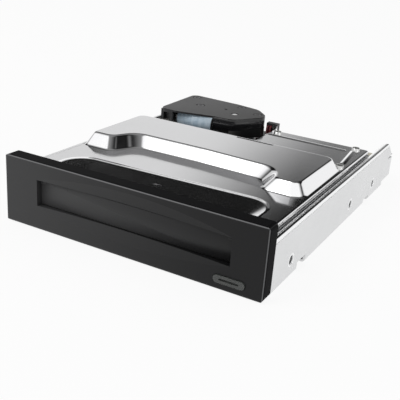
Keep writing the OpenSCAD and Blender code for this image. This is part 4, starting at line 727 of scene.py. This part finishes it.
class DRIVE_OT_rails(bpy.types.Operator):
    """Roll the bright top edges of the two rails"""
    bl_idname = "drive.rails"
    bl_label = "Rolled rail edges"

    def execute(self, context):
        start, end = RAIL_Y
        arc = [(RAIL_ROLL * (1 - math.cos(a)), RAIL_TOP - RAIL_ROLL * (1 - math.sin(a)))
               for a in (math.radians(15 * i) for i in range(6))]
        profile = [(-0.02, RAIL_FOOT), *arc, (RAIL_WIDTH - 0.15, RAIL_TOP - 0.33),
                   (RAIL_WIDTH, RAIL_TOP - 0.42), (RAIL_WIDTH, RAIL_FOOT + 0.6), (0.1, RAIL_FOOT)]
        points, faces = [], []
        count = len(profile)
        stations = [start, start + 0.05, end - 0.05, end]
        for side in (1.0, -1.0):
            base = len(points)
            for y in stations:
                points += [Vector((side * (RAIL_X - u) * MM, y * MM + FRONT_Y, z * MM)) for u, z in profile]
            for k in range(len(stations) - 1):
                for i in range(count):
                    j = (i + 1) % count
                    a, b = base + k * count, base + (k + 1) * count
                    face = (a + i, a + j, b + j, b + i)
                    faces.append(face if side > 0 else face[::-1])
            cap = tuple(range(base, base + count))
            far = tuple(range(base + (len(stations) - 1) * count, base + len(stations) * count))
            faces += [cap[::-1], far] if side > 0 else [cap, far[::-1]]
        edge = solid_object("rolled_rail_edges", points, faces, finish("rail_edge"))
        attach(edge, "chassis")
        return {"FINISHED"}


class DRIVE_OT_fingers(bpy.types.Operator):
    """Line one side edge of the cover with a row of small earthing fingers"""
    bl_idname = "drive.fingers"
    bl_label = "Earthing fingers"

    def execute(self, context):
        setting = context.scene.drive_fingers
        holder = solid_object("earthing_fingers", [], [], finish("bright"))
        group = bpy.data.node_groups.new("row_of_fingers", "GeometryNodeTree")
        face = group.interface
        sockets = {}
        for name, kind in (("Count", "NodeSocketInt"), ("Pitch", "NodeSocketFloat"),
                           ("Start", "NodeSocketVector"), ("Size", "NodeSocketVector"),
                           ("Finish", "NodeSocketMaterial")):
            sockets[name] = face.new_socket(name=name, in_out="INPUT", socket_type=kind).identifier
        face.new_socket(name="Geometry", in_out="OUTPUT", socket_type="NodeSocketGeometry")
        nodes, links = group.nodes, group.links
        given = nodes.new("NodeGroupInput").outputs
        bar = nodes.new("GeometryNodeMeshCube")
        links.new(given["Size"], bar.inputs["Size"])
        offset = nodes.new("ShaderNodeCombineXYZ")
        links.new(given["Pitch"], offset.inputs["Y"])
        row = nodes.new("GeometryNodeMeshLine")
        links.new(given["Count"], row.inputs["Count"])
        links.new(given["Start"], row.inputs["Start Location"])
        links.new(offset.outputs[0], row.inputs["Offset"])
        put = nodes.new("GeometryNodeInstanceOnPoints")
        links.new(row.outputs[0], put.inputs["Points"])
        links.new(bar.outputs[0], put.inputs["Instance"])
        put.inputs["Rotation"].default_value = (0.0, math.radians(-12.0), 0.0)
        real = nodes.new("GeometryNodeRealizeInstances")
        links.new(put.outputs[0], real.inputs[0])
        paint = nodes.new("GeometryNodeSetMaterial")
        links.new(real.outputs[0], paint.inputs["Geometry"])
        links.new(given["Finish"], paint.inputs["Material"])
        links.new(paint.outputs[0], nodes.new("NodeGroupOutput").inputs[0])
        rows = holder.modifiers.new("row", "NODES")
        rows.node_group = group
        rows[sockets["Count"]] = setting.count
        rows[sockets["Pitch"]] = setting.pitch * MM
        rows[sockets["Start"]] = (setting.side * MM, setting.start * MM + FRONT_Y, setting.height * MM)
        rows[sockets["Size"]] = (setting.width * MM, setting.pitch * setting.share * MM, 0.3 * MM)
        rows[sockets["Finish"]] = finish("bright")
        graph = context.evaluated_depsgraph_get()
        graph.update()
        mesh = bpy.data.meshes.new_from_object(holder.evaluated_get(graph))
        if not mesh.polygons:
            raise RuntimeError("the row of fingers is empty")
        holder.modifiers.clear()
        holder.data = mesh
        bevel = holder.modifiers.new("edges", "BEVEL")
        bevel.width = 0.08 * MM
        bevel.segments = 2
        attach(holder, "chassis")
        return {"FINISHED"}


class DRIVE_OT_housing(bpy.types.Operator):
    """Close the motor housing with its glossy front wall, full sleeve and bearing cup"""
    bl_idname = "drive.housing"
    bl_label = "Motor housing"

    def execute(self, context):
        self.front_wall()
        self.sleeve()
        self.cup()
        return {"FINISHED"}

    def front_wall(self):
        ring = rounded(HOUSING, 14)
        path = [p for p in ring if p.x >= WALL_START and p.y < WALL_REAR]
        path = [Vector((WALL_START, path[0].y))] + path
        points, faces = [], []
        count = len(WALL_SECTION)
        for k, p in enumerate(path):
            a, b = path[max(k - 1, 0)], path[min(k + 1, len(path) - 1)]
            way = (b - a).normalized()
            inward = Vector((-way.y, way.x))
            for u, z in WALL_SECTION:
                q = p + inward * (u - WALL_PROUD)
                points.append(Vector((q.x * MM, q.y * MM + FRONT_Y, z * MM)))
        for k in range(len(path) - 1):
            for i in range(count):
                j = (i + 1) % count
                a, b = k * count, (k + 1) * count
                faces.append((a + i, b + i, b + j, a + j))
        faces.append(tuple(range(count)))
        faces.append(tuple(range(len(path) * count - 1, (len(path) - 1) * count - 1, -1)))
        wall = solid_object("housing_front_wall", points, faces, finish("gloss_black"))
        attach(wall, "chassis")

    def sleeve(self):
        outer = self.can(SLEEVE_R, SLEEVE_FLAT)
        inner = self.can(SLEEVE_R - SLEEVE_FILM, SLEEVE_FLAT - SLEEVE_FILM)
        left, right = SLEEVE_X
        middle_y, middle_z = MOTOR_YZ
        count = len(outer)
        points, faces = [], []
        for plan, x in ((inner, left), (outer, left), (outer, right), (inner, right)):
            points += [Vector((x * MM, (middle_y + y) * MM + FRONT_Y, (middle_z + z) * MM)) for y, z in plan]
        for k in range(4):
            for i in range(count):
                j = (i + 1) % count
                a, b = k * count, ((k + 1) % 4) * count
                faces.append((a + i, a + j, b + j, b + i))
        sleeve = solid_object("printed_sleeve", points, faces, finish("sleeve"))
        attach(sleeve, "chassis")
        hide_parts("motor_sleeve")

    def can(self, r, flat):
        """Section of a round can with flat top and bottom."""
        edge = math.asin(flat / r)
        plan = []
        for base in (0.0, math.pi):
            for i in range(15):
                t = base - edge + 2 * edge * i / 14
                plan.append((r * math.cos(t), r * math.sin(t)))
        return plan

    def cup(self):
        x, y = WHEEL_XY
        points, faces = turned(CUP_SECTION, lambda c, s, r, z: (x + r * c, y + r * s, z))
        cup = solid_object("bearing_cup", points, faces, finish("gloss_black"))
        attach(cup, "chassis")


class DRIVE_OT_front(bpy.types.Operator):
    """Add the face skin of the door, a dark sheet of painted shade in the cover's catch notch, and the button
    springs
    """
    bl_idname = "drive.front"
    bl_label = "Door face, catch notch shade and springs"

    def execute(self, context):
        face = self.plate(rounded(DOOR_FACE, 6), lambda x, z, out: (x, DOOR_FACE_Y - out, z), DOOR_FACE_THICK)
        door = solid_object("door_face", *face, finish("door"))
        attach(door, "media_door")
        self.catch(context.scene.drive_cover.top)
        self.springs()
        return {"FINISHED"}

    def catch(self, top):
        """Thin dark sheet of painted shade in the catch notch, lying on the slope of the recess."""
        rear, length = RECESS_MIDDLE

        def on_slope(x, y, out):
            share = (rear - y) / length
            steps = zip(RECESS_PATH, RECESS_PATH[1:])
            (s0, h0), (s1, h1) = next((a, b) for a, b in steps if b[0] >= share)
            height = h0 + (h1 - h0) * (share - s0) / (s1 - s0)
            return (x, y, top - RECESS_DROP * height + CATCH_SEAT + out)
        window = self.plate(rounded(CATCH, 6), on_slope, CATCH_THICK)
        # painted shade: a thin gloss black sheet laid where the catch notch shows dark
        catch = solid_object("catch_notch_shade", *window, finish("gloss_black"))
        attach(catch, "chassis")

    def springs(self):
        """A copy of the button springs with its own mesh, on the chassis; the model's springs are hidden."""
        source = NODES["button_springs"]
        coils = bpy.data.objects.new("button_coils", source.data.copy())
        bpy.context.scene.collection.objects.link(coils)
        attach(coils, "chassis")
        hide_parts("button_springs")
        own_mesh(coils)

    def plate(self, ring, place, thick):
        """Plate with softly broken edges from a plan ring and a rule that places it."""
        soft = min(0.12, thick / 3)
        steps = [(soft, 0.0), (0.0, soft), (0.0, thick - soft), (soft * 0.3, thick - soft * 0.3),
                 (soft, thick)]
        points, faces, n = [], [], len(ring)
        middle = sum(ring, Vector((0.0, 0.0))) / n
        for inward, out in steps:
            for corner in ring:
                q = corner + (middle - corner).normalized() * inward
                across, back, up = place(q.x, q.y, out)
                points.append((across * MM, back * MM + FRONT_Y, up * MM))
        for k in range(len(steps) - 1):
            for i in range(n):
                j = (i + 1) % n
                faces.append((k * n + i, k * n + j, (k + 1) * n + j, (k + 1) * n + i))
        faces.append(tuple(range(n - 1, -1, -1)))
        faces.append(tuple(range((len(steps) - 1) * n, len(steps) * n)))
        return points, faces


class DRIVE_OT_rims(bpy.types.Operator):
    """Press the bright rims round the side screw holes"""
    bl_idname = "drive.rims"
    bl_label = "Hole rims"

    def execute(self, context):
        points, faces = [], []
        for side in (1.0, -1.0):
            for y in SIDE_HOLES:
                more, rim = turned(RIM_SECTION,
                                   lambda c, s, r, x: (side * x, y + r * c, HOLE_HEIGHT + side * r * s))
                faces += [tuple(k + len(points) for k in face) for face in rim]
                points += more
        rims = solid_object("hole_rims", points, faces, finish("rail_edge"))
        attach(rims, "chassis")
        return {"FINISHED"}


class DRIVE_OT_stage(bpy.types.Operator):
    """Set the pale floor, the room, the softboxes and the camera"""
    bl_idname = "drive.stage"
    bl_label = "Stage"

    def execute(self, context):
        scene = context.scene
        setting = scene.drive_stage
        self.floor(setting)
        self.room(scene, setting)
        self.softbox("key_softbox", (-0.42, -0.56, 0.66), 0.45, setting.key_power)
        self.softbox("right_fill", (0.85, -0.1, 0.35), 0.4, setting.fill_power)
        self.camera(scene, scene.drive_camera)
        scene.view_settings.view_transform = "Standard"
        return {"FINISHED"}

    def floor(self, setting):
        material, m = new_material("pale_floor")
        path = m.node("ShaderNodeLightPath").outputs
        seen = Field(m, path["Is Camera Ray"]).most(Field(m, path["Is Glossy Ray"]))
        seen = seen.most(Field(m, path["Is Transmission Ray"]))
        vector, x, y, z = m.place()
        tone = m.noise(vector, 6.0, 2.0)
        plain = m.node("ShaderNodeBsdfDiffuse", None,
                       {"Color": m.blend(tone * 0.1, tuple(setting.floor), (0.86, 0.86, 0.86))})
        white = m.node("ShaderNodeEmission", None, {"Color": (1.0, 1.0, 1.0), "Strength": 1.0})
        mixed = m.node("ShaderNodeMixShader", None,
                       {0: seen * FLOOR_WHITE, 1: plain.outputs[0], 2: white.outputs[0]})
        m.node("ShaderNodeOutputMaterial", None, {"Surface": mixed.outputs[0]})
        corners = [(-1, -1), (1, -1), (1, 1), (-1, 1)]
        floor = solid_object("floor", [(FLOOR_REACH * x, FLOOR_REACH * y, FLOOR_DROP) for x, y in corners],
                             [(0, 1, 2, 3)], material, False)

    def room(self, scene, setting):
        world = bpy.data.worlds.new("studio_room")
        scene.world = world
        world.use_nodes = True
        m = Maker(world.node_tree)
        way = m.node("ShaderNodeTexCoord").outputs["Generated"]
        parts = m.node("ShaderNodeSeparateXYZ", None, {0: way}).outputs
        x, y, z = (Field(m, part) for part in parts)
        turn = m.number("ARCTAN2", x, y)
        # bright bands and cards seen in the steel: low band, dim middle band, cards to the left and right
        low = 1.0 - z.ease(0.19, 0.29)
        mid = (1.0 - z.ease(0.30, 0.38)) * 0.17
        steep = turn + (z - LEVEL_VIEW) * 1.2
        left = (1.0 - steep.ease(*LEFT_EDGE)) * (1.0 - z.ease(0.38, 0.45)) * 0.74
        right = turn.ease(*RIGHT_EDGE) * (1.0 - z.ease(0.40, 0.56))
        behind = y.ease(-0.2, 0.1)
        top = z.ease(0.62, 0.80) * (1.0 - x.ease(-0.2, 0.3)) * 0.24
        front = (-y).ease(-0.30, 0.20) * (1.0 - z.ease(0.90, 0.97)) * 1.1
        glow = low.most(mid).most(left.most(right) * behind).most(top).most(front) + 0.010
        path = m.node("ShaderNodeLightPath").outputs
        camera = Field(m, path["Is Camera Ray"])
        diffuse = Field(m, path["Is Diffuse Ray"])
        level = glow * (1.0 - diffuse) + diffuse * setting.room
        shine = m.node("ShaderNodeBackground", None,
                       {"Color": (1.0, 1.0, 1.0), "Strength": level * (1.0 - camera) + camera})
        m.node("ShaderNodeOutputWorld", None, {"Surface": shine.outputs[0]})

    def softbox(self, name, way, size, power):
        lamp = bpy.data.lights.new(name, "AREA")
        lamp.shape = "SQUARE"
        lamp.size = size
        lamp.energy = power
        made = bpy.data.objects.new(name, lamp)
        bpy.context.scene.collection.objects.link(made)
        place = Vector(way)
        made.location = place
        made.rotation_euler = place.to_track_quat("Z", "Y").to_euler()
        made.visible_camera = False

    def camera(self, scene, setting):
        a, e, r = setting.azimuth, setting.elevation, setting.roll
        back = Vector((math.sin(a) * math.cos(e), -math.cos(a) * math.cos(e), math.sin(e)))
        ahead = -back
        right = ahead.cross(Vector((0, 0, 1))).normalized()
        up = right.cross(ahead)
        right, up = right * math.cos(r) + up * math.sin(r), up * math.cos(r) - right * math.sin(r)
        data = bpy.data.cameras.new("photo_camera")
        data.sensor_width = 36.0
        data.lens = setting.lens
        data.clip_start = 0.01
        camera = bpy.data.objects.new("photo_camera", data)
        scene.collection.objects.link(camera)
        place = Vector(setting.target) + back * setting.distance
        matrix = Matrix((right, up, back)).transposed().to_4x4()
        matrix.translation = place
        camera.matrix_world = matrix
        scene.camera = camera


class DRIVE_PT_panel(bpy.types.Panel):
    """The drive's pieces and stage"""
    bl_idname = "DRIVE_PT_panel"
    bl_label = "Cartridge Drive"
    bl_space_type = "VIEW_3D"
    bl_region_type = "UI"
    bl_category = "Drive"

    def draw(self, context):
        for key in SETTINGS:
            box = self.layout.box()
            group = getattr(context.scene, key)
            for name in group.bl_rna.properties.keys():
                if name not in ("rna_type", "name"):
                    box.prop(group, name)
        for operator in OPERATORS:
            self.layout.operator(operator.bl_idname)


OPERATORS = [DRIVE_OT_stage, DRIVE_OT_finishes, DRIVE_OT_cover, DRIVE_OT_rails, DRIVE_OT_fingers,
             DRIVE_OT_front, DRIVE_OT_housing, DRIVE_OT_rims]


def register():
    for kind in (*SETTINGS.values(), *OPERATORS, DRIVE_PT_panel):
        bpy.utils.register_class(kind)
    for key, kind in SETTINGS.items():
        setattr(bpy.types.Scene, key, PointerProperty(type=kind))


def unregister():
    for key in SETTINGS:
        delattr(bpy.types.Scene, key)
    for kind in (DRIVE_PT_panel, *reversed(OPERATORS), *reversed(list(SETTINGS.values()))):
        bpy.utils.unregister_class(kind)


def main():
    register()
    for operator in OPERATORS:
        getattr(bpy.ops.drive, operator.bl_idname.split(".")[1])()


if __name__ == "__main__":
    main()
